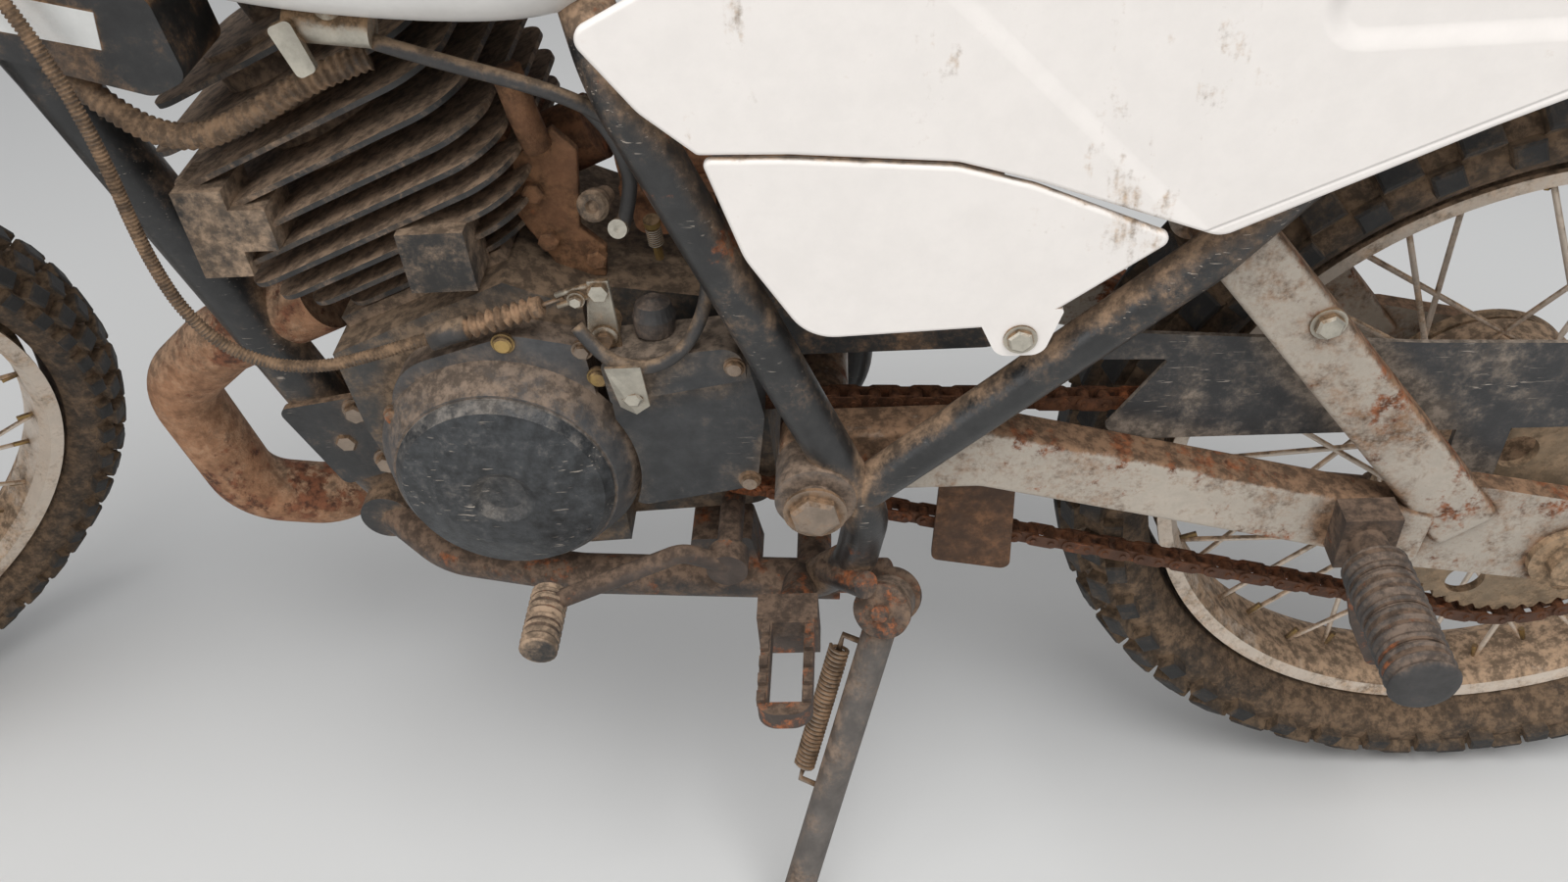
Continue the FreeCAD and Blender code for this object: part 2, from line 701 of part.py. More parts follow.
@functools.cache
def side_tubes():
    """The tubes from the backbone down past the swingarm pivot to the cradle, cross-braced."""
    points = [(592, 18, 745), (552, FRAME_HALF, 672), (441, FRAME_HALF, 384), (450, 102, 322),
              (478, CRADLE_HALF, 281)]
    tube = bent_tube(points, FRAME_TUBE, 42)
    cross = disc(566, 704, -80, 80, 11)
    shape = joined([tube, mirrored(tube), cross])
    return shape.cut(Part.makeCompound([frame_backbone(), cradle_rails()]))


RAIL_POINTS = [(606, 14, 735), (470, 78, 722), (-60, 88, 735), (-190, 80, 762)]


@functools.cache
def seat_rails():
    """The two rails under the seat, with their cross tubes."""
    rail = bent_tube(RAIL_POINTS, RAIL_TUBE, 60)
    front = disc(250, 729, -80, 80, 9)
    rear = disc(-60, 741, -84, 84, 9)
    shape = joined([rail, mirrored(rail), front, rear])
    return shape.cut(Part.makeCompound([frame_backbone(), side_tubes()]))


@functools.cache
def rear_struts():
    """The tubes from beside the pivot up to the seat rails."""
    points = [(446, FRAME_HALF, 402), (262, FRAME_HALF, 560), (90, 94, 728)]
    tube = bent_tube(points, FRAME_TUBE - 1, 90)
    return both_sides(tube.cut(Part.makeCompound([side_tubes(), seat_rails()])))


# Engine: closed cases with their covers, a finned cylinder and head, and the intake
@functools.cache
def crankcases():
    """The closed cases as one block, with the front lug and the drive sprocket."""
    deck = cylinder_point(0, 0, DECK_HEIGHT)
    front = cylinder_point(62, 0, DECK_HEIGHT)
    back = cylinder_point(-60, 0, DECK_HEIGHT)
    outline = [
        (735, 345, 40), (752, 430, 20), (front.x, front.z, 0), (back.x, back.z, 0),
        (596, 512, 15), (506, 496, 25), (500, 330, 22), (640, 322, 30),
    ]
    wide = side_plate(outline, -CASE_RIGHT, CASE_LEFT)
    notch = Part.makeBox(120, 60, 240, Vector(600 - 120, CASE_NARROW, 300))
    lug = side_plate([(730, 362, 0), (792, 352, 8), (796, 386, 8), (735, 405, 0)],
                     2 - DOWNTUBE, DOWNTUBE - 2)
    boss = disc(SPROCKET_X, SPROCKET_Z, CASE_NARROW - 2, CHAIN_Y + 8, 16)
    teeth = disc(SPROCKET_X, SPROCKET_Z, CHAIN_Y - 3, CHAIN_Y + 3,
                 FRONT_PITCH_RADIUS - CHAIN_HEIGHT - TOOTH_GAP)
    return joined([wide.cut(notch), lug, boss, teeth])


def cylinder_point(ahead, y, height):
    """A point of the cylinder, measured along its leaning axis from the crankshaft."""
    lean = math.radians(CYLINDER_LEAN)
    x = CRANK_X + height * math.sin(lean) + ahead * math.cos(lean)
    z = CRANK_Z + height * math.cos(lean) - ahead * math.sin(lean)
    return Vector(x, y, z)


def cylinder_placed(shape):
    """A shape drawn upright about the crankshaft, leaned with the cylinder."""
    copy = shape.copy()
    copy.Placement = Placement(Vector(CRANK_X, 0, CRANK_Z), Rotation(ALONG_Y, CYLINDER_LEAN)).multiply(
        copy.Placement)
    return copy


BARREL_TOP = 205.0
HEAD_TOP = 272.0
FIN_WALL = 3.0
FIN_SHIFT = -14.0


def fin(length, width, height):
    """One cooling fin: a plate with rounded corners."""
    corners = [
        (Vector(FIN_SHIFT - length / 2, -width / 2, height), 30),
        (Vector(FIN_SHIFT + length / 2, -width / 2, height), 22),
        (Vector(FIN_SHIFT + length / 2, width / 2, height), 22),
        (Vector(FIN_SHIFT - length / 2, width / 2, height), 30),
    ]
    return Part.Face(path_wire(corners, True)).extrude(Vector(0, 0, FIN_WALL))


@functools.cache
def cylinder():
    """The barrel with its fins, the longer ones higher up."""
    fins = [
        # length, width, height above the crankshaft
        (130, 120, 116), (154, 144, 131), (172, 160, 146), (182, 168, 161), (184, 170, 176),
        (184, 170, 191),
    ]
    pieces = [Part.makeCylinder(42, BARREL_TOP - DECK_HEIGHT, Vector(0, 0, DECK_HEIGHT))]
    pieces.append(Part.makeBox(116, 110, 8, Vector(-58, -55, DECK_HEIGHT)))
    pieces.append(Part.makeBox(40, 60, 46, Vector(-72, -30, DECK_HEIGHT + 6)))
    pieces.append(Part.makeCylinder(24, 50, Vector(40, 0, DECK_HEIGHT + 38), Vector(1, 0, -0.25)))
    for length, width, height in fins:
        pieces.append(fin(length, width, height))
    return cylinder_placed(joined(pieces))


@functools.cache
def cylinder_head():
    """The head with its fins and the plug's well."""
    fins = [
        # length, width, height above the crankshaft
        (182, 168, 209), (178, 164, 228), (172, 156, 247), (150, 132, 266),
    ]
    pieces = [Part.makeCylinder(44, HEAD_TOP - BARREL_TOP, Vector(0, 0, BARREL_TOP))]
    for length, width, height in fins:
        pieces.append(fin(length, width, height))
    pieces.append(Part.makeCylinder(11, 34, Vector(0, 0, HEAD_TOP)))
    pieces.append(Part.makeCylinder(13, 40, Vector(0, 0, HEAD_TOP + 20), Vector(-1, 0, 0.6)))
    return cylinder_placed(joined(pieces))


@functools.cache
def case_covers():
    """The left cover round the magneto, and the right cover over the clutch."""
    outline = [
        (735, 400, 60), (716, 488, 40), (640, 510, 30), (600, 500, 12), (592, 372, 14),
        (640, 336, 30), (700, 340, 45),
    ]
    left = side_plate(outline, CASE_LEFT, CASE_LEFT + COVER_DEPTH)
    collar = ring_about_y([(CASE_LEFT + COVER_DEPTH - 2, 0), (CASE_LEFT + COVER_DEPTH - 2, COLLAR_RADIUS),
                           (COVER_FACE, COVER_RADIUS + 2), (COVER_FACE, 0)])
    seat_for_cover = disc(CRANK_X, CRANK_Z, CASE_LEFT + COVER_DEPTH, COVER_FACE + 1, COVER_RADIUS)
    left = joined([left, moved(collar, CRANK_X, 0, CRANK_Z)]).cut(seat_for_cover)
    outline = [
        (728, 380, 40), (728, 470, 40), (640, 500, 40), (530, 490, 45), (512, 350, 40), (690, 336, 40),
    ]
    plate = side_plate(outline, -CASE_RIGHT, -CASE_RIGHT - 26)
    bulge = disc(590, 415, -CASE_RIGHT - 24, -CASE_RIGHT - 46, 62)
    return Part.makeCompound([left, joined([plate, bulge])])


@functools.cache
def magneto_cover():
    """A round domed cover with a hollow in its middle, let into the case cover's collar."""
    inner = CASE_LEFT + COVER_DEPTH
    profile = [
        Vector(0, inner, 0), Vector(COVER_RADIUS, inner, 0), Vector(COVER_RADIUS, COVER_FACE + 2, 0),
        Vector(COVER_RADIUS - 5, COVER_FACE + 8, 0), Vector(40, COVER_FACE + 13, 0),
        Vector(20, COVER_FACE + 14, 0), Vector(13, COVER_FACE + 9, 0), Vector(0, COVER_FACE + 8, 0),
    ]
    face = Part.Face(Part.makePolygon(profile + profile[:1]))
    return moved(face.revolve(Vector(0, 0, 0), ALONG_Y, 360), CRANK_X, 0, CRANK_Z)


@functools.cache
def sprocket_cover():
    """The cover over the drive sprocket, behind the round cover."""
    outline = [(588, 500, 8), (508, 506, 14), (499, 450, 20), (508, 394, 14), (586, 380, 8)]
    ledge = side_plate([(588, 501, 6), (507, 507, 12), (506, 484, 2), (586, 470, 2)],
                       CASE_LEFT + 10, CASE_LEFT + 34)
    shape = joined([side_plate(outline, CASE_LEFT, CASE_LEFT + 26), ledge])
    return shape.cut(disc(CRANK_X, CRANK_Z, CASE_LEFT - 1, CASE_LEFT + 60, COLLAR_RADIUS + 1))


@functools.cache
def intake_manifold():
    """The reed housing behind the cylinder, with its stub to the carburettor."""
    block = Part.makeBox(22, 76, 60, Vector(-94, -38, DECK_HEIGHT + 2))
    stub = Part.makeCylinder(20, 34, Vector(-94, 0, DECK_HEIGHT + 30), Vector(-1, 0, 0))
    return cylinder_placed(joined([block, stub])).cut(Part.makeCompound([cylinder(), crankcases()]))


CARB_X = 548.0
CARB_Z = 586.0


@functools.cache
def carburettor():
    """A slide carburettor: body, float bowl with its flange and nut, cap and idle screw."""
    body = Part.makeCylinder(21, 62, Vector(CARB_X - 31, 0, CARB_Z - 11), Vector(1, 0, -0.12))
    tower = Part.makeCylinder(20, 78, Vector(CARB_X, 0, CARB_Z - 18))
    cap = Part.makeCylinder(24, 10, Vector(CARB_X, 0, CARB_Z + 54))
    flange = Part.makeBox(60, 58, 6, Vector(CARB_X - 30, -29, CARB_Z - 30))
    bowl = side_plate([(CARB_X - 25, CARB_Z - 26, 0), (CARB_X + 25, CARB_Z - 26, 0),
                       (CARB_X + 25, CARB_Z - 58, 9), (CARB_X - 25, CARB_Z - 62, 12)], -25, 25)
    nut = Part.makeCylinder(8, 10, Vector(CARB_X, 0, CARB_Z - 68))
    screw = disc(CARB_X + 4, CARB_Z - 4, 0, 40, 3)
    head = disc(CARB_X + 4, CARB_Z - 4, 36, 43, 6)
    spring = [disc(CARB_X + 4, CARB_Z - 4, 22 + turn * 3, 23.6 + turn * 3, 4.6) for turn in range(5)]
    shape = joined([body, tower, cap, flange, bowl, nut, screw, head] + spring)
    return shape.cut(Part.makeCompound([intake_manifold(), crankcases()]))


@functools.cache
def air_box():
    """The air filter's box between the side covers, with its boot."""
    outline = [(500, 470, 12), (500, 600, 12), (450, 586, 20), (350, 540, 20), (350, 470, 20)]
    box = side_plate(outline, -74, 74)
    boot = rod(Vector(490, 0, CARB_Z - 8), Vector(CARB_X - 26, 0, CARB_Z - 10), 25)
    return joined([box, boot]).cut(carburettor())


PIPE_TABLE = [
    # x, y, z
    (790, -8, 474), (884, -24, 428), (944, -40, 378), (930, -50, 262), (862, -70, 232),
    (808, -118, 290), (790, -132, 470), (752, -144, 626), (655, -172, 672), (470, -186, 690),
    (330, -190, 700),
]


@functools.cache
def exhaust_pipe():
    """The header loops down in front of the engine and swells into the chamber on the right."""
    header = bent_tube(PIPE_TABLE[:6], EXHAUST_RADIUS, 45)
    chamber = bent_tube(PIPE_TABLE[5:], EXHAUST_RADIUS + 8, 60)
    ball = Part.makeSphere(EXHAUST_RADIUS + 8, Vector(*PIPE_TABLE[5]))
    cutters = Part.makeCompound([cylinder(), frame_downtube(), case_covers()])
    return joined([header, ball, chamber]).cut(cutters)


@functools.cache
def silencer():
    """The muffler can on the end of the chamber, hung from the right seat rail."""
    start = Vector(*PIPE_TABLE[-1])
    end = Vector(40, -190, 712)
    can = rod(start, end, 40)
    tail = rod(end, end + Vector(-40, 0, 2), 14)
    shape = joined([can, tail, silencer_hanger(8)])
    return shape.cut(Part.makeCompound([exhaust_pipe(), seat_rails()]))


def silencer_hanger(radius):
    """The stay from the right seat rail out to the can."""
    return rod(Vector(180, -168, 716), Vector(180, -86, 728), radius)


# Bodywork
TANK_SECTIONS = [
    # x, half width, low, high, corner
    (905, 38, 798, 856, 20), (850, 80, 758, 900, 34), (770, 122, 722, 924, 38),
    (700, 133, 706, 924, 40), (600, 126, 692, 884, 40), (536, 92, 706, 826, 30),
]


@functools.cache
def fuel_tank():
    """A steel tank over the backbone, with a tunnel for it and a filler cap."""
    body = Part.makeLoft([cross_section(*row) for row in TANK_SECTIONS], True)
    tunnel = side_plate([(960, 600, 0), (960, 844, 0), (560, 762, 20), (500, 762, 0), (500, 600, 0)],
                        -34, 34)
    cap = Part.makeCylinder(36, 24, Vector(745, 0, 916))
    cutters = Part.makeCompound([tunnel, side_tubes(), seat_rails(), frame_backbone()])
    return joined([body, cap]).cut(cutters)


SEAT_SECTIONS = [
    # x, half width, low, high, corner
    (533, 62, 752, 838, 20), (420, 88, 740, 834, 26), (200, 112, 744, 832, 28), (0, 110, 748, 838, 28),
    (-180, 98, 770, 850, 28), (-262, 78, 782, 852, 24),
]


@functools.cache
def seat():
    body = Part.makeLoft([cross_section(*row) for row in SEAT_SECTIONS], True)
    return body.cut(Part.makeCompound([seat_rails(), fuel_tank(), rear_struts()]))


LOWER_PANEL = [
    # x, z, corner radius
    (513, 639, 4), (497, 582, 40), (468, 531, 26), (352, 535, 40), (284, 584, 5), (355, 617, 30),
    (392, 629, 20), (470, 637, 10),
]
UPPER_PANEL = [
    # x, z, corner radius
    (566, 703, 8), (539, 664, 30), (514, 641, 4), (470, 639, 10), (392, 631, 20), (355, 619, 30),
    (264, 583, 14), (150, 636, 80), (-30, 712, 40), (-190, 742, 10), (0, 758, 40), (480, 744, 30),
]


@functools.cache
def lower_side_covers():
    """The lower pair of side covers, with a tab for their bolt."""
    tab = side_plate([(382, 545, 2), (370, 516, 9), (346, 516, 9), (336, 545, 2)],
                     PANEL_Y, PANEL_Y + PANEL_WALL)
    plate = softened(side_plate(LOWER_PANEL, PANEL_Y, PANEL_Y + PANEL_WALL),
                     [PANEL_Y + PANEL_WALL], PANEL_EDGE)
    hole = disc(358, 527, PANEL_Y - 1, PANEL_Y + PANEL_WALL + 1, 4)
    cover = joined([plate, tab]).cut(hole)
    return both_sides(cover)


@functools.cache
def tail_side_covers():
    """The upper pair, which run back beside the seat."""
    plate = softened(side_plate(UPPER_PANEL, PANEL_Y, PANEL_Y + PANEL_WALL),
                     [PANEL_Y + PANEL_WALL], PANEL_EDGE)
    peg_table = [(480, 690), (90, 716)]
    pegs = [disc(x, z, 92, PANEL_Y, 7) for x, z in peg_table]
    cover = joined([plate] + pegs)
    cutters = Part.makeCompound([side_tubes(), seat_rails(), rear_struts(), silencer_hanger(9)])
    return both_sides(cover).cut(cutters)


REAR_FENDER_CENTRE = (-60.0, 120.0)
REAR_FENDER_RADIUS = 612.0


@functools.cache
def rear_fender():
    shell = fender_shell(REAR_FENDER_RADIUS, 66, 64, 66)
    shell = moved(shell, REAR_FENDER_CENTRE[0], 0, REAR_FENDER_CENTRE[1])
    return shell.cut(seat_rails())


@functools.cache
def tail_lamp():
    """A square lamp in its housing on the fender, between the rear indicators."""
    seat_angle = math.radians(116)
    base_x = REAR_FENDER_CENTRE[0] + REAR_FENDER_RADIUS * math.cos(seat_angle)
    base_z = REAR_FENDER_CENTRE[1] + REAR_FENDER_RADIUS * math.sin(seat_angle)
    outline = [
        # back of the fender's point, above it, corner radius
        (40, 15, 4), (-44, -25, 6), (-48, 68, 14), (8, 78, 10), (44, 36, 10),
    ]
    shapes = [side_plate([(base_x + x, base_z + z, radius) for x, z, radius in outline], -44, 44)]
    for side in (1, -1):
        root = Vector(base_x + 2, side * 40, base_z + 36)
        shapes.append(rod(root, root + Vector(0, side * 70, 0), 6))
        shapes.append(Part.makeSphere(27, root + Vector(-4, side * 88, 0)))
    return joined(shapes).cut(Part.makeCompound([rear_fender(), seat()]))


# Rear suspension: a box-section swingarm with struts up to its yoke, and one shock
@functools.cache
def swingarm():
    """Both box-section arms with struts and axle plates, the pivot tube, and the upper yoke."""
    arm = side_plate([(493, 436, 18), (493, 388, 18), (372, 388, 20), (95, 308, 6), (92, 352, 6),
                      (378, 436, 20)], ARM_INNER, ARM_OUTER)
    arm = softened(arm, [ARM_INNER, ARM_OUTER], ARM_EDGE)
    strut = side_plate([(268, 556, 6), (238, 578, 6), (52, 348, 6), (84, 322, 6)],
                       ARM_INNER + 2, ARM_OUTER - 2)
    strut = softened(strut, [ARM_INNER + 2, ARM_OUTER - 2], ARM_EDGE)
    plate = side_plate([(100, 378, 14), (60, 318, 8), (-46, 284, 14), (-52, 330, 14), (10, 356, 20)],
                       ARM_INNER + 6, ARM_OUTER - 6)
    lower = side_plate([(110, 350, 4), (110, 304, 6), (-30, 278, 10), (-40, 320, 8)],
                       ARM_INNER + 6, ARM_OUTER - 6)
    slot = disc(0, REAR_RADIUS, ARM_INNER, ARM_OUTER, AXLE_RADIUS)
    side = joined([arm, strut, plate, lower]).cut(slot)
    pivot = joined([disc(PIVOT_X, PIVOT_Z, -ARM_INNER - 2, CASE_NARROW, 20),
                    disc(PIVOT_X, PIVOT_Z, CASE_NARROW, ARM_INNER + 2, 12)])
    bore = disc(PIVOT_X, PIVOT_Z, -ARM_OUTER - 1, ARM_OUTER + 1, 9)
    bar = disc(262, 562, -ARM_INNER - 6, ARM_INNER + 6, 14)
    ears = side_plate([(250, 566, 4), (282, 560, 6), (300, 596, 10), (274, 604, 10)], 22, 30)
    return joined([side, mirrored(side), pivot, bar, ears, mirrored(ears)]).cut(bore)


@functools.cache
def pivot_bolt():
    half = FRAME_HALF + FRAME_TUBE + 2
    bolt = disc(PIVOT_X, PIVOT_Z, -half, half, 9)
    shapes = [bolt]
    for side in (1, -1):
        shapes.append(disc(PIVOT_X, PIVOT_Z, side * ARM_OUTER, side * half, 24))
        shapes.append(disc(PIVOT_X, PIVOT_Z, side * half, side * (half + 9), 13))
    return joined(shapes).cut(Part.makeCompound([side_tubes(), rear_struts()]))


@functools.cache
def rear_shock():
    """One long shock from the yoke up to the frame, with its spring."""
    low = Vector(286, 0, 584)
    high = Vector(566, 0, 704)
    run = (high - low).normalize()
    profile = [Vector(0, 0, 30)]
    for turn in range(8):
        foot = 34 + turn * 23
        profile += [Vector(23, 0, foot), Vector(32, 0, foot + 5), Vector(32, 0, foot + 8),
                    Vector(23, 0, foot + 13)]
    profile.append(Vector(0, 0, 34 + 8 * 23))
    spring = Part.Face(Part.makePolygon(profile + profile[:1]))
    spring = spring.revolve(Vector(0, 0, 0), Vector(0, 0, 1), 360)
    spring.Placement = Placement(low, Rotation(Vector(0, 0, 1), run))
    shapes = [rod(low, high, 12), disc(286, 584, -22, 22, 16), spring]
    return joined(shapes).cut(Part.makeCompound([swingarm(), side_tubes(), air_box()]))


@functools.cache
def rear_axle():
    """The axle with its adjuster discs, and the fixed cover of the rear drum with its lever."""
    half = ARM_OUTER - 6
    pin = disc(0, REAR_RADIUS, -half, half, AXLE_RADIUS)
    left = disc(0, REAR_RADIUS, REAR_HUB_HALF + 6 + TURN_GAP, ARM_INNER + 6, 13)
    right = disc(0, REAR_RADIUS, -REAR_HUB_HALF - TURN_GAP, -ARM_INNER - 6, 13)
    shapes = [pin, left, right]
    for side in (1, -1):
        shapes.append(disc(0, REAR_RADIUS, side * half, side * (half + 5), 24))
        shapes.append(disc(0, REAR_RADIUS, side * (half + 5), side * (half + 14), 14))
    face = -REAR_HUB_HALF - TURN_GAP
    plate = disc(0, REAR_RADIUS, face, face - 9, BRAKE_DRUM - 2)
    boss = disc(0, REAR_RADIUS, face - 9, -ARM_INNER - 6, 24)
    lever = side_plate([(22, 258, 6), (40, 262, 6), (46, 196, 6), (32, 194, 6)], face - 9, face - 15)
    return joined(shapes + [plate, boss, lever])


# Drive: a chain round both sprockets, its guard and its guide
def chain_stations(count):
    """Evenly spaced points of the pitch line round both sprockets, each with its way out."""
    run = math.hypot(SPROCKET_X, SPROCKET_Z - REAR_RADIUS)
    heading = math.atan2(SPROCKET_Z - REAR_RADIUS, SPROCKET_X)
    spread = math.acos((REAR_PITCH_RADIUS - FRONT_PITCH_RADIUS) / run)
    straight = math.sqrt(run ** 2 - (REAR_PITCH_RADIUS - FRONT_PITCH_RADIUS) ** 2)
    rear_arc = REAR_PITCH_RADIUS * 2 * (math.pi - spread)
    front_arc = FRONT_PITCH_RADIUS * 2 * spread
    stretches = [
        # length, start angle, turn, centre x, centre z, radius of the stretch
        (straight, heading + spread, 0.0, 0.0, REAR_RADIUS, REAR_PITCH_RADIUS),
        (front_arc, heading + spread, -2 * spread, SPROCKET_X, SPROCKET_Z, FRONT_PITCH_RADIUS),
        (straight, heading - spread, 0.0, SPROCKET_X, SPROCKET_Z, FRONT_PITCH_RADIUS),
        (rear_arc, heading - spread, 2 * (spread - math.pi), 0.0, REAR_RADIUS, REAR_PITCH_RADIUS),
    ]
    total = 2 * straight + rear_arc + front_arc
    stations = []
    for index in range(count):
        gone = total * index / count
        for length, start, turn, x, z, radius in stretches:
            if gone < length:
                break
            gone -= length
        angle = start + turn * gone / length
        out = Vector(math.cos(angle), 0, math.sin(angle))
        along = Vector(out.z, 0, -out.x) if turn == 0.0 else Vector(0, 0, 0)
        stations.append((Vector(x, 0, z) + out * radius + along * gone, out))
    return stations


CHAIN_LINKS = 120
CHAIN_WAIST = 3.4


@functools.cache
def chain():
    """The whole chain as one loop, its plates full at each pin and waisted between."""
    stations = chain_stations(2 * CHAIN_LINKS)
    outer = []
    inner = []
    for index, (place, out) in enumerate(stations):
        at_pin = index % 2 == 0
        outer.append(place + out * (CHAIN_HEIGHT if at_pin else CHAIN_WAIST))
        if at_pin:
            inner.append(place - out * CHAIN_HEIGHT)
    loop = flat_face(outer).cut(flat_face(inner))
    loop.translate(Vector(0, CHAIN_Y - CHAIN_HALF, 0))
    return loop.extrude(Vector(0, 2 * CHAIN_HALF, 0))


@functools.cache
def chain_guard():
    """A black steel guard along the upper run, notched at its front."""
    outline = [
        (318, 485, 4), (312, 464, 2), (262, 462, 2), (295, 412, 3), (286, 401, 2), (120, 400, 30),
        (-60, 398, 20), (-110, 424, 20), (-60, 458, 20), (120, 467, 40),
    ]
    plate = side_plate(outline, CHAIN_Y + CHAIN_HALF + 5, CHAIN_Y + CHAIN_HALF + 8)
    tab = disc(187, 478, CHAIN_Y + CHAIN_HALF + 8, ARM_INNER + 2, 12)
    strap = side_plate([(52, 420, 4), (84, 420, 4), (84, 330, 4), (52, 330, 4)],
                       CHAIN_Y + CHAIN_HALF + 4, CHAIN_Y + CHAIN_HALF + 8)
    return joined([plate, tab, strap]).cut(swingarm())


@functools.cache
def chain_guide():
    """The slotted guide that keeps the lower run in line, on the left arm."""
    plate = side_plate([(392, 400, 4), (400, 297, 6), (347, 285, 6), (346, 400, 4)],
                       CHAIN_Y + CHAIN_HALF + 3, CHAIN_Y + CHAIN_HALF + 7)
    return plate.cut(swingarm())


# Controls and stands
@functools.cache
def rider_pegs():
    """Folding footpegs with toothed treads, on brackets from the cradle."""
    bracket = rod(Vector(488, CRADLE_HALF + 2, 284), Vector(492, 142, 300), 12)
    clevis = Part.makeBox(38, 20, 34, Vector(474, 136, 294))
    tread = path_wire([(Vector(476, 150, 314), 0), (Vector(476, 236, 324), 12),
                       (Vector(508, 236, 324), 12), (Vector(508, 150, 314), 0)], True)
    plate = Part.Face(tread).extrude(Vector(0, 0, 13))
    hollow = Part.makeBox(20, 66, 60, Vector(482, 160, 290))
    teeth = []
    for row in range(5):
        for x in (476, 503):
            teeth.append(Part.makeBox(5, 7, 6, Vector(x, 164 + row * 14, 327 + row * 1.6)))
    peg = joined([bracket, clevis, plate.cut(hollow)] + teeth)
    return both_sides(peg.cut(Part.makeCompound([side_tubes(), cradle_rails()])))


HEEL_PLATE = [
    # x, z, corner radius
    (130, 350, 4), (118, 292, 8), (86, 220, 8), (104, 211, 8), (124, 254, 12), (150, 345, 4),
]
HEEL_PLATE_HOLES = [(99, 226), (107, 246), (116, 266), (123, 286), (130, 306)]


@functools.cache
def pillion_pegs():
    """Passenger pegs on the swingarm, each a rubber on its bracket."""
    bracket = Part.makeBox(34, 20, 40, Vector(122, ARM_OUTER, 330))
    pin = disc(140, 352, ARM_OUTER + 20, 146, 11)
    ribs = [disc(142, 352, 150 + rib * 9, 155 + rib * 9, 18.5) for rib in range(9)]
    rubber = disc(142, 352, 146, 236, 16)
    peg = joined([bracket, pin, rubber] + ribs)
    holes = [disc(x, z, ARM_OUTER, ARM_OUTER + 5, 4) for x, z in HEEL_PLATE_HOLES]
    plate = side_plate(HEEL_PLATE, ARM_OUTER, ARM_OUTER + 4).cut(Part.makeCompound(holes))
    return Part.makeCompound([joined([peg, plate]), mirrored(peg)])


@functools.cache
def gear_lever():
    """The shift lever, with its ribbed rubber."""
    boss = disc(530, 346, CASE_NARROW, 128, 8)
    hub = disc(530, 346, 116, 132, 13)
    arm = bent_tube([(530, 126, 346), (556, 134, 366), (640, 150, 341)], 6, 14)
    ribs = [disc(642, 340, 146 + rib * 7, 149 + rib * 7, 11) for rib in range(6)]
    return joined([boss, hub, arm, disc(642, 340, 142, 186, 9.5)] + ribs)


@functools.cache
def brake_pedal():
    """The rear brake pedal and its rod, on the right."""
    hub = disc(470, 268, -CRADLE_HALF, -134, 12)
    arm = bent_tube([(470, -126, 268), (560, -140, 262), (640, -150, 300), (672, -150, 322)], 7, 30)
    pad = Part.makeBox(40, 34, 8, Vector(654, -168, 322))
    link = rod(Vector(466, -96, 262), Vector(40, -84, 200), 3.5)
    knuckle = disc(466, 262, -90, -102, 8)
    end = disc(40, 200, -70, -88, 6)
    cutters = Part.makeCompound([cradle_rails(), side_tubes(), rear_axle()])
    return joined([hub, arm, pad, link, knuckle, end]).cut(cutters)


@functools.cache
def kick_starter():
    shaft = disc(556, 404, -CASE_RIGHT - 46, -142, 10)
    hub = disc(556, 404, -128, -150, 16)
    arm = bent_tube([(556, -142, 404), (540, -152, 480), (470, -176, 572)], 8, 40)
    pedal = rod(Vector(470, -170, 572), Vector(470, -222, 578), 9)
    return joined([shaft, hub, arm, pedal]).cut(case_covers())


@functools.cache
def intake_bottle():
    """A black plastic bottle beside the frame, with a hose to the intake."""
    outline = [(876, 692, 14), (790, 662, 12), (770, 670, 8), (774, 714, 12), (868, 744, 14)]
    return side_plate(outline, 40, 92)


CABLE_RADIUS = 3.5
CABLE_ROUTE = [
    # x, y, z, from beside the head tube down to the clutch arm
    (946, 27, 797), (928, 33, 784), (906, 46, 774), (884, 65, 766), (862, 86, 757),
    (844, 101, 738), (832, 107, 715), (825, 108, 689), (820, 110, 661), (819, 110, 631), (820, 110, 601), (819, 110, 571),
    (814, 110, 543), (800, 110, 518), (776, 110, 504), (748, 109, 501), (720, 107, 506),
    (694, 104, 512), (668, 101, 517), (642, 100, 523), (618, 100, 531),
]
HOSE_RADIUS = 4.0
INTAKE_RADIUS = 7.0
BREATHER_ROUTE = [
    # x, y, z, from the tap back behind the frame tube and forward to the cases
    (668, 100, 688), (638, 100, 676), (606, 100, 665), (576, 99, 652), (550, 98, 632),
    (532, 97, 606), (523, 98, 576), (521, 102, 548), (527, 108, 525), (538, 116, 509),
    (554, 121, 501), (572, 121, 502), (587, 117, 510), (597, 111, 524),
]
INTAKE_ROUTE = [
    # x, y, z, from the bottle's front round its underside
    (842, 80, 678), (816, 88, 650), (782, 93, 637), (748, 92, 647), (712, 84, 664),
    (682, 76, 670),
]


def cord_corners(route):
    """Corner radii that make each bend as wide as its two runs allow."""
    points = [Vector(*point) for point in route]
    corners = [(points[0], 0)]
    for before, here, after in zip(points, points[1:], points[2:]):
        back = (before - here).normalize()
        ahead = (after - here).normalize()
        turn = math.pi - back.getAngle(ahead)
        shorter = min((before - here).Length, (after - here).Length)
        corners.append((here, 0.45 * shorter / math.tan(turn / 2)))
    corners.append((points[-1], 0))
    return corners


def cord_tube(route, radius):
    """A flexible tube along its route."""
    corners = cord_corners(route)
    tightest = min(bend for point, bend in corners[1:-1])
    print("tightest bend", round(tightest, 1), "mm for a tube of radius", radius)
    path = path_wire(corners, False)
    ring = Part.Wire(Part.makeCircle(radius, corners[0][0], corners[1][0] - corners[0][0]))
    return path.makePipe(Part.Face(ring))


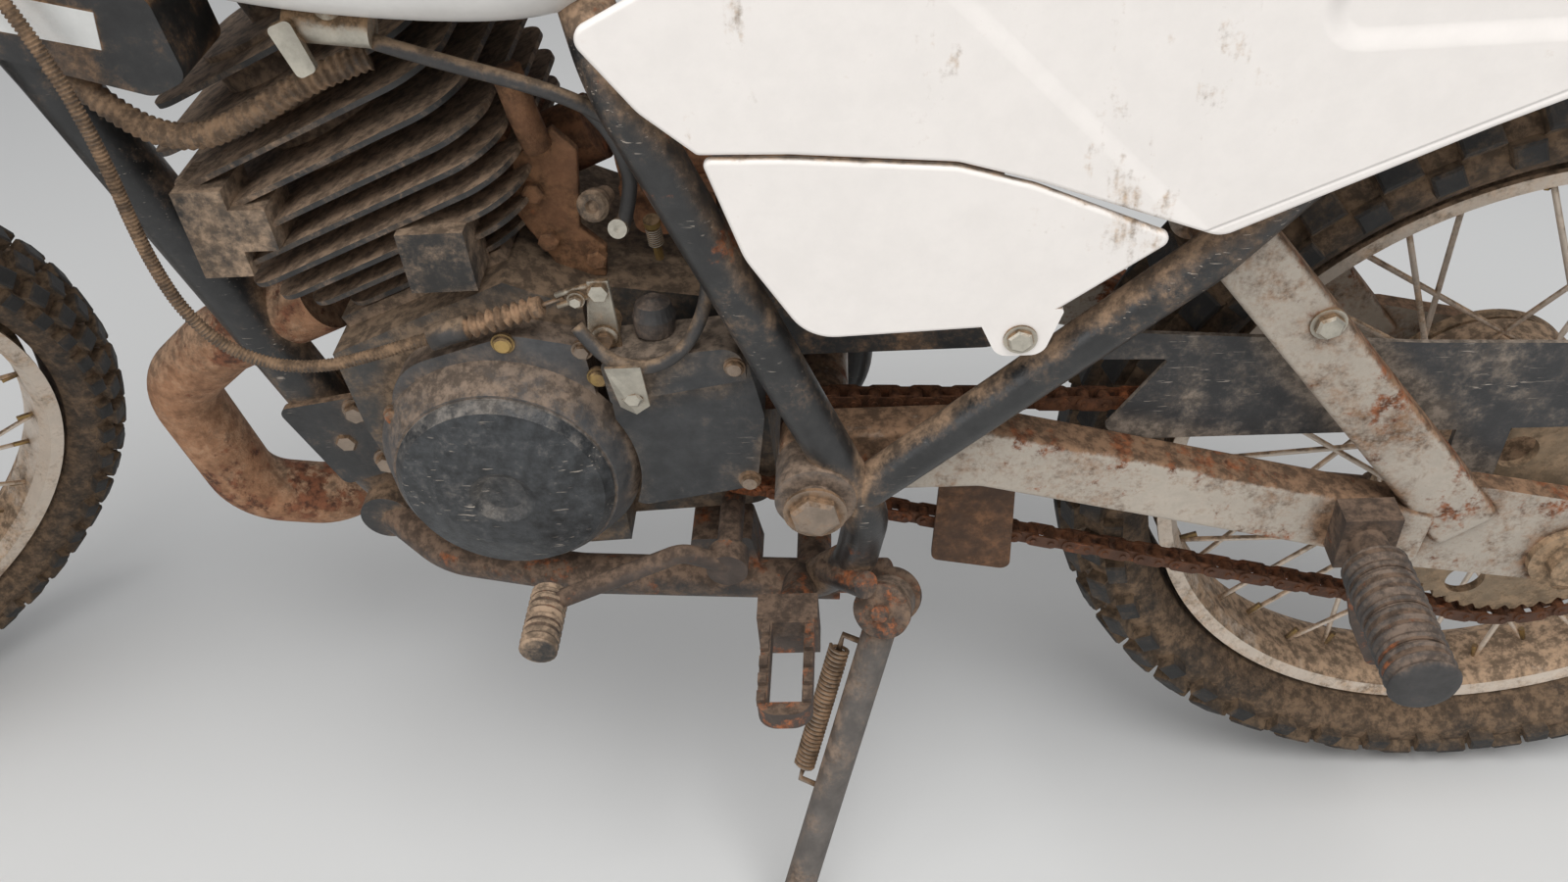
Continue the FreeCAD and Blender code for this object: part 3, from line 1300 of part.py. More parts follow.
@functools.cache
def clutch_cable():
    """The clutch cable, with its boot and end fitting at the arm."""
    boot = rod(Vector(668, 101, 517), Vector(624, 100, 529), 6.5)
    return joined([cord_tube(CABLE_ROUTE, CABLE_RADIUS), boot]).cut(clutch_arm())


@functools.cache
def clutch_arm():
    """The arm on its shaft at the top of the left case."""
    arm = side_plate([(590, 498, 5), (604, 494, 5), (617, 535, 5), (599, 541, 5)], 98.5, 103.5)
    shaft = disc(598, 504, CASE_LEFT - 4, 106, 6)
    return joined([arm, shaft]).cut(Part.makeCompound([case_covers(), crankcases()]))


@functools.cache
def hoses():
    """The hose behind the frame tube, and the hose at the bottle."""
    breather = cord_tube(BREATHER_ROUTE, HOSE_RADIUS)
    intake = cord_tube(INTAKE_ROUTE, INTAKE_RADIUS)
    cutters = Part.makeCompound([fuel_tap(), intake_bottle(), cylinder_head(), case_covers(),
                                 crankcases(), side_tubes(), sprocket_cover()])
    return Part.makeCompound([breather.cut(cutters), intake.cut(cutters)])


@functools.cache
def fuel_tap():
    """The tap under the tank: a spigot, its body and the lever."""
    spigot = rod(Vector(684, 98, 740), Vector(684, 98, 697), 9)
    body = rod(Vector(706, 100, 700), Vector(666, 100, 694), 9)
    lever = side_plate([(700, 706, 3), (712, 702, 3), (704, 676, 3), (694, 680, 3)], 108, 112)
    return joined([spigot, body, lever]).cut(fuel_tank())


@functools.cache
def fin_dampers():
    """Rubber blocks pushed onto the edges of the fins."""
    blocks = [
        # low x, high x, low z, high z
        (654, 692, 536, 574), (758, 778, 568, 594), (778, 806, 552, 606),
    ]
    shapes = []
    for low_x, high_x, low_z, high_z in blocks:
        block = Part.makeBox(high_x - low_x, 34, high_z - low_z, Vector(low_x, 56, low_z))
        shapes.append(block)
    return Part.makeCompound(shapes).cut(Part.makeCompound([cylinder(), cylinder_head()]))


STAND_PIVOT = Vector(430, 118, 297)
STAND_FOOT = Vector(516, 223, 40)
STAND_UP = Vector(-0.955, 0.27, 0.05)


@functools.cache
def side_stand():
    """The stand's leg, its foot on the ground, with its lug and spring."""
    leg = rod(STAND_PIVOT, STAND_FOOT, 11)
    axis = stand_axis()
    lug = Part.makeCylinder(17, 12, STAND_PIVOT - axis * 6, axis)
    reach = leg.fuse(lug)
    ground = ground_normal()
    foot = Part.makeCylinder(26, 7, STAND_FOOT, ground)
    half_space = Part.makeBox(400, 400, 100, Vector(-200, -200, -100))
    half_space.Placement = Placement(STAND_FOOT, Rotation(Vector(0, 0, 1), ground))
    bore = Part.makeCylinder(6, 60, STAND_PIVOT - axis * 30, axis)
    return joined([reach, foot]).cut(half_space).cut(bore)


@functools.cache
def stand_spring():
    """The spring that holds the leg out, along its front between two hooks."""
    down = (STAND_FOOT - STAND_PIVOT).normalize()
    ahead = down.cross(stand_axis()).normalize()
    if ahead.x < 0:
        ahead = ahead * -1
    start = STAND_PIVOT + down * 34 + ahead * 22
    end = STAND_PIVOT + down * 150 + ahead * 22
    coils = [rod(start + down * (6 + turn * 8), start + down * (11 + turn * 8), 6.5)
             for turn in range(13)]
    hooks = [rod(point, point - ahead * 20, 2.5) for point in (start, end)]
    return joined([rod(start, end, 4.5)] + coils + hooks).cut(side_stand())


@functools.cache
def stand_axis():
    down = (STAND_FOOT - STAND_PIVOT).normalize()
    up = Vector(STAND_UP).normalize()
    return down.cross(up).normalize()


@functools.cache
def stand_bracket():
    """The forked bracket on the left cradle tube, with the stand's bolt."""
    axis = stand_axis()
    pin = Part.makeCylinder(6 - PIN_GAP, 44, STAND_PIVOT - axis * 22, axis)
    cheeks = []
    for offset in (-16.5, 11.5):
        cheek = Part.makeCylinder(19, 5, STAND_PIVOT + axis * offset, axis)
        cheeks.append(cheek)
    arm = rod(STAND_PIVOT - axis * 14 + Vector(4, -8, 10), Vector(478, CRADLE_HALF, 284), 12)
    arm_out = rod(STAND_PIVOT + axis * 14 + Vector(10, -2, 22), Vector(470, 96, 306), 9)
    sweep = Part.makeCylinder(30, 24, STAND_PIVOT - axis * 12, axis)
    body = joined([pin] + [piece.cut(sweep) if piece is not pin else piece for piece in
                           cheeks + [arm, arm_out]])
    return body


# Parking: the steering at its stop, then the lean that brings the stand's foot to the ground
@functools.cache
def steering_placement():
    """The steering turned to its left stop."""
    axis = Vector(-RAKE_SIN, 0, RAKE_COS)
    foot = Vector(AXIS_FOOT, 0, 0)
    return Placement(Vector(0, 0, 0), Rotation(axis, STEER_LOCK), foot)


def lowest_of_wheel(placement, centre, normal, radius, half_width):
    """How low a wheel with a round crown reaches under a placement."""
    placed = placement.multVec(centre)
    turned = placement.Rotation.multVec(normal)
    ring = radius - half_width
    return placed.z - ring * math.sqrt(1 - turned.z ** 2) - half_width


@functools.cache
def parked_placement():
    """Lean and pitch that put both wheels on the ground."""
    steering = steering_placement()
    front_centre = steering.multVec(Vector(WHEELBASE, 0, FRONT_RADIUS))
    front_normal = steering.Rotation.multVec(ALONG_Y)
    rear_centre = Vector(0, 0, REAR_RADIUS)
    leaned = Rotation(Vector(1, 0, 0), -LEAN)
    pitch = 0.0
    for step in range(20):
        turn = Placement(Vector(0, 0, 0), Rotation(ALONG_Y, pitch).multiply(leaned))
        rear = lowest_of_wheel(turn, rear_centre, ALONG_Y, REAR_RADIUS, REAR_TYRE_HALF)
        front = lowest_of_wheel(turn, front_centre, front_normal, FRONT_RADIUS, FRONT_TYRE_HALF)
        pitch += math.degrees((front - rear) / WHEELBASE)
    return Placement(Vector(0, 0, -rear), turn.Rotation)


@functools.cache
def ground_normal():
    """The ground's upward normal, as the upright machine sees it."""
    return parked_placement().Rotation.inverted().multVec(Vector(0, 0, 1))


BODIES = {
    "chassis": [
        frame_backbone, frame_downtube, cradle_rails, side_tubes, seat_rails, rear_struts,
        crankcases, cylinder, cylinder_head, case_covers, magneto_cover, sprocket_cover,
        intake_manifold, carburettor, air_box, exhaust_pipe, silencer, fuel_tank, seat,
        lower_side_covers, tail_side_covers, rear_fender, tail_lamp, swingarm, pivot_bolt,
        rear_shock, rear_axle, chain, chain_guard, chain_guide, rider_pegs, pillion_pegs,
        gear_lever, brake_pedal, kick_starter, intake_bottle, clutch_cable, clutch_arm, hoses,
        fuel_tap, fin_dampers,
    ],
    "steering": [
        fork_clamps, fork_tubes, fork_sliders, front_axle, handlebar,
        grips, hand_levers, headlamp, lamp_bracket, instruments, front_fender,
    ],
    "front_wheel": [front_tyre, front_wheel],
    "rear_wheel": [rear_tyre, rear_wheel, rear_sprocket],
    "side_stand": [side_stand, stand_spring],
}


@functools.cache
def build():
    """Every node's shape, parked, by name."""
    parked = parked_placement()
    turned = parked.multiply(steering_placement())
    shapes = {}
    for body, makers in BODIES.items():
        for maker in makers:
            shape = maker().copy()
            place = turned if body in ("steering", "front_wheel") else parked
            shape.Placement = place.multiply(shape.Placement)
            shapes[maker.__name__] = shape
    return shapes


def centred(shapes):
    """The shift that brings the middle of the base to the origin."""
    box = Part.makeCompound(list(shapes.values())).optimalBoundingBox(True, False)
    return Vector(-(box.XMin + box.XMax) / 2, -(box.YMin + box.YMax) / 2, -box.ZMin)


SHAPES = build()
SHIFT = centred(SHAPES)
os.makedirs("parts", exist_ok=True)
for name, shape in SHAPES.items():
    shape.translate(SHIFT)
    shape.exportStep("parts/" + name + ".step")
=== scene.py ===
import bpy
import json
import math
from mathutils import Matrix, Vector


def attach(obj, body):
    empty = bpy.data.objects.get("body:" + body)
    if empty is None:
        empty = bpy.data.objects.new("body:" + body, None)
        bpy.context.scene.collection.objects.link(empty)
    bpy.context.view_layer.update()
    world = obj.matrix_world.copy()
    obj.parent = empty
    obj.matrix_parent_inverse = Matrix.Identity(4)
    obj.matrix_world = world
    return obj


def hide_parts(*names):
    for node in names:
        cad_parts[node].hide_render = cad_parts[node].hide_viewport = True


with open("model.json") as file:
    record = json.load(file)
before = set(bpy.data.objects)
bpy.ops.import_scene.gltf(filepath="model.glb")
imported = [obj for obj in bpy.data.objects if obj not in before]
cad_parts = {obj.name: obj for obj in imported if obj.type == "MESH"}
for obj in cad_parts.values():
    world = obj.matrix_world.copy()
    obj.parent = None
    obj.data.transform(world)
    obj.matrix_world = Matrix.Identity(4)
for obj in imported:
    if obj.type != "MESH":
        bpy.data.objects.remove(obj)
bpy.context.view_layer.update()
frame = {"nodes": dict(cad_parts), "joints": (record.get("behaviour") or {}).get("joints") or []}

# The machine is drawn upright, in metres, with its origin on the ground below the rear axle.
# Parked, it leans to the left onto its stand.
LEAN = math.radians(10)
PITCH = math.radians(0.5)
REAR_RADIUS = 0.308
joints = {joint["name"]: joint for joint in frame["joints"]}
lean_over = Matrix.Rotation(PITCH, 4, "Y") @ Matrix.Rotation(-LEAN, 4, "X")
rear_axle = Vector(joints["rear_wheel_spin"]["pos_m"])
parked = Matrix.Translation(rear_axle - lean_over @ Vector((0, 0, REAR_RADIUS))) @ lean_over

# The camera stands close by the machine's left side, above the seat's height, and looks
# down at the engine.
CAMERA_PLACE = Vector((0.4353, 0.6804, 0.9361))
CAMERA_AIM = Vector((0.4896, 0.1, 0.4248))
CAMERA_ROLL = math.radians(-3.79)
CAMERA_LENS = 29.52
camera_data = bpy.data.cameras.new("camera")
camera_data.sensor_width = 36
camera_data.lens = CAMERA_LENS
camera = bpy.data.objects.new("camera", camera_data)
bpy.context.scene.collection.objects.link(camera)
camera.location = parked @ CAMERA_PLACE
heading = (parked @ CAMERA_AIM - camera.location).to_track_quat("-Z", "Y")
camera.rotation_euler = (heading.to_matrix() @ Matrix.Rotation(CAMERA_ROLL, 3, "Z")).to_euler()
bpy.context.scene.camera = camera

# Floor and light: a pale plain floor under an even sky, with one broad lamp above
# and a weaker one from the camera's side.
FLOOR_COLOUR = (0.66, 0.66, 0.65, 1)
FLOOR_REACH = 9
SKY_COLOUR = (0.80, 0.81, 0.83, 1)
SKY_STRENGTH = 0.62
scene = bpy.context.scene
scene.view_settings.view_transform = "Standard"
world = bpy.data.worlds.new("studio")
scene.world = world
world.use_nodes = True
sky = world.node_tree.nodes["Background"]
sky.inputs["Color"].default_value = SKY_COLOUR
sky.inputs["Strength"].default_value = SKY_STRENGTH


def area_light(name, place, aim, size, power):
    light = bpy.data.lights.new(name, "AREA")
    light.shape = "DISK"
    light.size = size
    light.energy = power
    lamp = bpy.data.objects.new(name, light)
    lamp.location = place
    lamp.rotation_euler = (Vector(aim) - Vector(place)).to_track_quat("-Z", "Y").to_euler()
    scene.collection.objects.link(lamp)


area_light("top_light", (-0.7, 1.6, 3.2), (0.0, 0.0, 0.4), 2.4, 95)
area_light("fill_light", (1.8, 2.2, 1.4), (0.1, 0.0, 0.4), 1.8, 22)

floor_mesh = bpy.data.meshes.new("floor")
floor_mesh.from_pydata([(x * FLOOR_REACH, y * FLOOR_REACH, 0)
                        for x, y in ((-1, -1), (1, -1), (1, 1), (-1, 1))], [], [(0, 1, 2, 3)])
floor = bpy.data.objects.new("floor", floor_mesh)
scene.collection.objects.link(floor)
floor_paint = bpy.data.materials.new("floor_paint")
floor_paint.use_nodes = True
floor_shader = floor_paint.node_tree.nodes["Principled BSDF"]
floor_shader.inputs["Base Color"].default_value = FLOOR_COLOUR
floor_shader.inputs["Roughness"].default_value = 0.9
floor_mesh.materials.append(floor_paint)


# Frame tubes: black paint over steel, dusty where it lies open, scratched and rusting
# at the welds. Every worn finish on the machine is mixed in this way.
EARTH = (0.26, 0.155, 0.085)
RUST = (0.19, 0.062, 0.022)
BARE_METAL = (0.42, 0.36, 0.30)
DIRT_LEVEL = 1.46
DIRT_ROUGHNESS = 0.9
RUST_ROUGHNESS = 0.85


def node_maths(tree):
    """Shorthand for one material's nodes: a sum, a weighted total and a smooth step."""

    def reckon(operation, *values):
        unit = tree.nodes.new("ShaderNodeMath")
        unit.operation = operation
        for socket, value in zip(unit.inputs, values):
            if isinstance(value, (int, float)):
                socket.default_value = value
            else:
                tree.links.new(value, socket)
        return unit.outputs[0]

    def weighted(*terms):
        total = None
        for value, weight in terms:
            term = reckon("MULTIPLY", value, weight)
            total = term if total is None else reckon("ADD", total, term)
        return total

    def ramp(value, low, high, rise=1.0):
        unit = tree.nodes.new("ShaderNodeMapRange")
        unit.interpolation_type = "SMOOTHSTEP"
        unit.inputs["From Min"].default_value = low
        unit.inputs["From Max"].default_value = high
        unit.inputs["To Max"].default_value = rise
        tree.links.new(value, unit.inputs["Value"])
        return unit.outputs["Result"]

    return reckon, weighted, ramp


def worn_finish(name, coat, dirt=EARTH, rust=RUST, dusty=0.45, rusty=0.0, rough=0.5, metal=0.0,
                coat_spread=0.25, grain=0.15, patch=1.0, crevice=0.7, upward=0.35, streak=0.0,
                scratch=0.0):
    """A coat with dust in patches, real dust and painted shade in crevices, rust in spots, and fine
    grain in its bump.
    """
    material = bpy.data.materials.new(name)
    material.use_nodes = True
    tree = material.node_tree
    nodes = tree.nodes
    links = tree.links
    reckon, weighted, ramp = node_maths(tree)
    shader = nodes["Principled BSDF"]
    place = nodes.new("ShaderNodeTexCoord").outputs["Object"]

    def noise(scale, detail=6.0, roughness=0.6, stretch=(1, 1, 1)):
        mapping = nodes.new("ShaderNodeMapping")
        mapping.inputs["Scale"].default_value = stretch
        links.new(place, mapping.inputs["Vector"])
        texture = nodes.new("ShaderNodeTexNoise")
        texture.inputs["Scale"].default_value = scale
        texture.inputs["Detail"].default_value = detail
        texture.inputs["Roughness"].default_value = roughness
        links.new(mapping.outputs["Vector"], texture.inputs["Vector"])
        return texture.outputs["Fac"]

    def mixed(factor, first, second):
        unit = nodes.new("ShaderNodeMix")
        unit.data_type = "RGBA"
        links.new(factor, unit.inputs["Factor"])
        for socket, value in ((unit.inputs["A"], first), (unit.inputs["B"], second)):
            if isinstance(value, tuple):
                socket.default_value = (*value, 1)
            else:
                links.new(value, socket)
        return unit.outputs["Result"]

    coarse = noise(9.0 * patch)
    middle = noise(48.0 * patch, 8.0, 0.68)
    fine = noise(330.0, 4.0, 0.7)
    pale = tuple(min(1.0, part * (1 + coat_spread) + 0.02 * coat_spread) for part in coat)
    dark = tuple(part * (1 - coat_spread) for part in coat)
    colour = mixed(ramp(middle, 0.3, 0.7), dark, pale)
    if scratch:
        lines = noise(60.0, 3.0, 0.5, (1.0, 9.0, 14.0))
        nick = reckon("MULTIPLY", ramp(lines, 0.66, 0.70), ramp(coarse, 0.45, 0.6))
        colour = mixed(reckon("MULTIPLY", nick, scratch), colour, BARE_METAL)
    normal = nodes.new("ShaderNodeNewGeometry").outputs["Normal"]
    parts = nodes.new("ShaderNodeSeparateXYZ")
    links.new(normal, parts.inputs[0])
    dust_and_shade_terms = [(coarse, 0.6), (middle, 0.80), (ramp(parts.outputs["Z"], -0.1, 1.0), upward)]
    # Crevices are found by ambient occlusion and take the dust colour. This is real dust there, and
    # painted shade where it darkens a pale coat.
    if crevice:
        corner = nodes.new("ShaderNodeAmbientOcclusion")
        corner.samples = 4
        corner.inputs["Distance"].default_value = 0.018
        dust_and_shade_terms.append((ramp(corner.outputs["AO"], 0.95, 0.35), crevice))
    if streak:
        runs = noise(26.0, 5.0, 0.6, (1.0, 1.0, 0.12))
        dust_and_shade_terms.append((ramp(runs, 0.5, 0.75), streak))
    dust_and_shade_terms.append((fine, 0.34))
    centre = DIRT_LEVEL - dusty
    # The mask holds dust, and through its crevice term it also holds painted shade.
    dust_and_shade_mask = ramp(weighted(*dust_and_shade_terms), centre - 0.13, centre + 0.20)
    dirt_dark = tuple(part * 0.42 for part in dirt)
    dirt_pale = tuple(min(1.0, part * 1.15) for part in dirt)
    dust_and_shade_colour = mixed(ramp(noise(120.0, 6.0, 0.7), 0.38, 0.62), dirt_dark, dirt_pale)
    colour = mixed(dust_and_shade_mask, colour, dust_and_shade_colour)
    rough_value = reckon("ADD", reckon("MULTIPLY", dust_and_shade_mask, DIRT_ROUGHNESS - rough), rough)
    if rusty:
        spots = weighted((noise(34.0, 9.0, 0.75), 0.75), (noise(6.0, 3.0), 0.35))
        limit = 0.80 - 0.45 * rusty
        rust_mask = ramp(spots, limit, limit + 0.07)
        rust_pale = tuple(min(1.0, part * 1.9) for part in rust)
        rust_dark = tuple(part * 0.5 for part in rust)
        flakes = mixed(ramp(noise(150.0, 6.0), 0.35, 0.65), rust_dark, rust_pale)
        colour = mixed(rust_mask, colour, flakes)
        rough_value = reckon("MAXIMUM", rough_value,
                             reckon("MULTIPLY", rust_mask, RUST_ROUGHNESS))
    links.new(colour, shader.inputs["Base Color"])
    links.new(rough_value, shader.inputs["Roughness"])
    shader.inputs["Metallic"].default_value = metal
    bump = nodes.new("ShaderNodeBump")
    bump.inputs["Strength"].default_value = min(1.0, grain * 3)
    bump.inputs["Distance"].default_value = 0.0012
    height = weighted((middle, 0.6), (fine, 0.4), (dust_and_shade_mask, 0.3))
    links.new(height, bump.inputs["Height"])
    links.new(bump.outputs["Normal"], shader.inputs["Normal"])
    return material


def dress(material, *names):
    """Gives CAD nodes their finish."""
    for name in names:
        mesh = frame["nodes"][name].data
        mesh.materials.clear()
        mesh.materials.append(material)


frame_paint = worn_finish("frame_paint", (0.018, 0.018, 0.018), (0.27, 0.175, 0.108), dusty=0.44,
                          rusty=0.36, rough=0.34, scratch=0.9)
dress(frame_paint, "frame_backbone", "frame_downtube", "side_tubes", "seat_rails", "rear_struts")
low_paint = worn_finish("low_paint", (0.030, 0.026, 0.024), (0.17, 0.110, 0.073), dusty=0.58,
                        rusty=0.50, rough=0.5)
dress(low_paint, "cradle_rails")

# Engine: the barrel and head are cast in black with long fins, which hold pale dust
# between them. The cases are grey under their dust, the round cover is black.
barrel_black = worn_finish("barrel_black", (0.022, 0.021, 0.020), (0.30, 0.205, 0.135),
                           (0.17, 0.080, 0.034), dusty=0.46, rusty=0.34, rough=0.6, crevice=0.45,
                           upward=0.45, patch=1.6)
dress(barrel_black, "cylinder", "cylinder_head")
case_dusty = worn_finish("case_dusty", (0.045, 0.043, 0.040), (0.20, 0.135, 0.085), dusty=0.58,
                         rough=0.6)
dress(case_dusty, "crankcases")
case_grey = worn_finish("case_grey", (0.060, 0.061, 0.063), (0.20, 0.145, 0.105), dusty=0.44,
                        rough=0.55, patch=1.4, scratch=0.4)
dress(case_grey, "case_covers")
case_black = worn_finish("case_black", (0.030, 0.031, 0.032), (0.20, 0.15, 0.11), dusty=0.44,
                         rough=0.5, patch=1.4, scratch=0.35)
dress(case_black, "sprocket_cover")
cover_black = worn_finish("cover_black", (0.018, 0.020, 0.022), (0.18, 0.16, 0.14), dusty=0.42,
                          rough=0.40, patch=2.4, coat_spread=0.6, scratch=1.0)
dress(cover_black, "magneto_cover")
damper_rubber = worn_finish("damper_rubber", (0.030, 0.028, 0.026), (0.30, 0.21, 0.14), dusty=0.62,
                            rough=0.75)
dress(damper_rubber, "fin_dampers")
zinc = worn_finish("zinc", (0.44, 0.41, 0.345), (0.33, 0.22, 0.13), dusty=0.42, rusty=0.1,
                   rough=0.4, metal=0.7)
dress(zinc, "clutch_arm", "fuel_tap")
intake_rust = worn_finish("intake_rust", (0.095, 0.045, 0.021), (0.20, 0.088, 0.040), dusty=0.7,
                          rusty=0.4, rough=0.75)
dress(intake_rust, "intake_manifold", "carburettor")
box_black = worn_finish("box_black", (0.02, 0.02, 0.02), dusty=0.5, rough=0.6)
dress(box_black, "air_box", "intake_bottle")

# Exhaust: the header and its chamber are bare welded steel, rusted all over to orange brown.
# The muffler can behind them still has some of its black paint.
pipe_rust = worn_finish("pipe_rust", (0.29, 0.140, 0.068), (0.35, 0.215, 0.130),
                        (0.12, 0.044, 0.020), dusty=0.55, rusty=0.52, rough=0.85, grain=0.3,
                        patch=1.5, coat_spread=0.45)
dress(pipe_rust, "exhaust_pipe")
muffler_black = worn_finish("muffler_black", (0.03, 0.03, 0.03), dusty=0.4, rusty=0.35, rough=0.6)
dress(muffler_black, "silencer")

# Bodywork: the covers and both fenders are moulded in white plastic. They carry a thin film
# of brown dust, which has run down in streaks.
panel_white = worn_finish("panel_white", (0.78, 0.735, 0.695), (0.46, 0.33, 0.22), dusty=0.34,
                          rough=0.34, coat_spread=0.025, grain=0.03, crevice=0.45, upward=0.05,
                          streak=0.50)
dress(panel_white, "lower_side_covers", "rear_fender", "front_fender")

# Tail covers: the same white plastic. A fold runs down to the lowest corner, a fine groove
# follows the lower edge, and a long hollow is pressed in beside the seat. Points are (x, z)
# on the upright machine.
FOLD = ((0.3621, 0.6784), (0.2864, 0.5996))
FOLD_HALF = 0.005
FOLD_RISE = 0.0014
GROOVE = ((0.2558, 0.5942), (0.1258, 0.6515))
GROOVE_HALF = 0.0016
GROOVE_RISE = 0.0005
HOLLOW_START = (0.2177, 0.6970)
HOLLOW_LENGTH = 0.125
HOLLOW_HALF = 0.0215
HOLLOW_EDGE = 0.012
HOLLOW_RISE = 0.0035
tail_white = panel_white.copy()
tail_white.name = "tail_white"
tail_tree = tail_white.node_tree
reckon, weighted, ramp = node_maths(tail_tree)
upright = tail_tree.nodes.new("ShaderNodeMapping")
upright.inputs["Location"].default_value = parked.inverted().translation
upright.inputs["Rotation"].default_value = parked.inverted().to_euler()
tail_tree.links.new(tail_tree.nodes["Texture Coordinate"].outputs["Object"],
                    upright.inputs["Vector"])
split = tail_tree.nodes.new("ShaderNodeSeparateXYZ")
tail_tree.links.new(upright.outputs["Vector"], split.inputs[0])


def off_line(start, end):
    """How far a point lies to one side of a line."""
    run = Vector(end) - Vector(start)
    run.normalize()
    across = weighted((split.outputs["X"], -run.y), (split.outputs["Z"], run.x))
    return reckon("ADD", across, run.y * start[0] - run.x * start[1])


fold_height = ramp(off_line(*FOLD), -FOLD_HALF, FOLD_HALF, FOLD_RISE)
groove_height = ramp(reckon("ABSOLUTE", off_line(*GROOVE)), 0.0, GROOVE_HALF, GROOVE_RISE)
back = reckon("SUBTRACT", HOLLOW_START[0], split.outputs["X"])
beside = reckon("MINIMUM", reckon("MAXIMUM", back, 0.0), HOLLOW_LENGTH)
beyond = reckon("SUBTRACT", back, beside)
above = reckon("SUBTRACT", split.outputs["Z"], HOLLOW_START[1])
squares = reckon("ADD", reckon("POWER", beyond, 2.0), reckon("POWER", above, 2.0))
hollow_height = ramp(reckon("SQRT", squares), HOLLOW_HALF - HOLLOW_EDGE, HOLLOW_HALF, HOLLOW_RISE)
relief = tail_tree.nodes.new("ShaderNodeBump")
relief.inputs["Distance"].default_value = 1.0
tail_tree.links.new(reckon("ADD", reckon("ADD", fold_height, groove_height), hollow_height),
                    relief.inputs["Height"])
tail_tree.links.new(relief.outputs["Normal"], tail_tree.nodes["Bump"].inputs["Normal"])
dress(tail_white, "tail_side_covers")

# Tank: pressed from sheet steel and painted white. It sits over the backbone tube, with its
# cap, and holds less dust than the covers below it.
tank_white = worn_finish("tank_white", (0.74, 0.72, 0.69), (0.46, 0.35, 0.25), dusty=0.12,
                         rough=0.22, coat_spread=0.04, grain=0.02, crevice=0.35, upward=0.05)
dress(tank_white, "fuel_tank")

# Lamps and instruments: the headlamp's shell, the cases of the dials and the tail lamp's base
# are black plastic, bolted to the bracket and the rear fender, with a little dust on top.
lamp_black = worn_finish("lamp_black", (0.02, 0.02, 0.021), dusty=0.20, rough=0.4, upward=0.20)
dress(lamp_black, "headlamp", "lamp_bracket", "instruments", "tail_lamp")

# Swingarm and what hangs on it: welded steel in silver paint gone cream, freckled with rust.
# The shock is red, the chain's guard is black, its guide is bare, and the sprocket is tan.
# Its dust is laid on heavily and is partly painted shade, standing in for the shadow that the
# chain's guard casts on the arm.
arm_silver = worn_finish("arm_silver", (0.45, 0.395, 0.33), (0.25, 0.148, 0.086),
                         (0.16, 0.058, 0.024), dusty=0.56, rusty=0.52, rough=0.42, metal=0.25,
                         coat_spread=0.12, patch=1.3)
dress(arm_silver, "swingarm")
shock_paint = worn_finish("shock_paint", (0.35, 0.05, 0.03), dusty=0.5, rough=0.5)
dress(shock_paint, "rear_shock")
guard_black = worn_finish("guard_black", (0.026, 0.026, 0.027), (0.23, 0.185, 0.145), dusty=0.52,
                          rusty=0.16, rough=0.45, scratch=1.0)
dress(guard_black, "chain_guard")
chain_rust = worn_finish("chain_rust", (0.075, 0.038, 0.020), (0.19, 0.095, 0.048), dusty=0.55,
                         rusty=0.25, rough=0.7, metal=0.2)
dress(chain_rust, "chain_guide")
sprocket_tan = worn_finish("sprocket_tan", (0.30, 0.22, 0.14), (0.38, 0.26, 0.16), dusty=0.6,
                           rusty=0.3, rough=0.6, metal=0.3)
dress(sprocket_tan, "rear_sprocket", "rear_axle")

# Controls and stand: the pegs, pedals and foot levers are steel that has lost most of its
# paint, and the stand is a worn painted leg. The grips and fork tubes are black, the fork's
# sliders and clamps are cast alloy.
control_rust = worn_finish("control_rust", (0.052, 0.037, 0.029), (0.130, 0.084, 0.056), dusty=0.50,
                           rusty=0.46, rough=0.7)
dress(control_rust, "rider_pegs", "pillion_pegs", "gear_lever", "brake_pedal", "kick_starter")
stand_worn = worn_finish("stand_worn", (0.105, 0.092, 0.082), (0.22, 0.155, 0.110), dusty=0.50,
                         rusty=0.42, rough=0.65)
dress(stand_worn, "side_stand", "pivot_bolt")
grip_black = worn_finish("grip_black", (0.024, 0.023, 0.022), dusty=0.26, rough=0.75, grain=0.3,
                         upward=0.20)
dress(grip_black, "grips", "fork_tubes")
fork_alloy = worn_finish("fork_alloy", (0.46, 0.45, 0.43), (0.30, 0.21, 0.13), dusty=0.36,
                         rough=0.35, metal=0.7)
dress(fork_alloy, "fork_sliders", "fork_clamps", "hand_levers")
dress(frame_paint, "handlebar")

# Wheels: steel rims laced with wire spokes to their hubs, silver under pale dust. The front one
# turns with the fork about the raked head, whose line meets the ground at STEER_FOOT_X, and
# stands at the left stop.
WHEELBASE = 1.345
FRONT_RADIUS = 0.335
RAKE = math.radians(30)
STEER_LOCK = math.radians(48)
STEER_FOOT_X = 1.46
rim_silver = worn_finish("rim_silver", (0.70, 0.60, 0.50), (0.48, 0.335, 0.22), dusty=0.54,
                         rusty=0.10, rough=0.38, metal=0.3, coat_spread=0.1)
dress(rim_silver, "front_wheel", "rear_wheel", "front_axle")
steer_foot = Matrix.Translation((STEER_FOOT_X, 0, 0))
steer_axis = Vector((-math.sin(RAKE), 0, math.cos(RAKE)))
steered = parked @ steer_foot @ Matrix.Rotation(STEER_LOCK, 4, steer_axis) @ steer_foot.inverted()
rear_place = parked @ Matrix.Translation((0, 0, REAR_RADIUS))
front_place = steered @ Matrix.Translation((WHEELBASE, 0, FRONT_RADIUS))

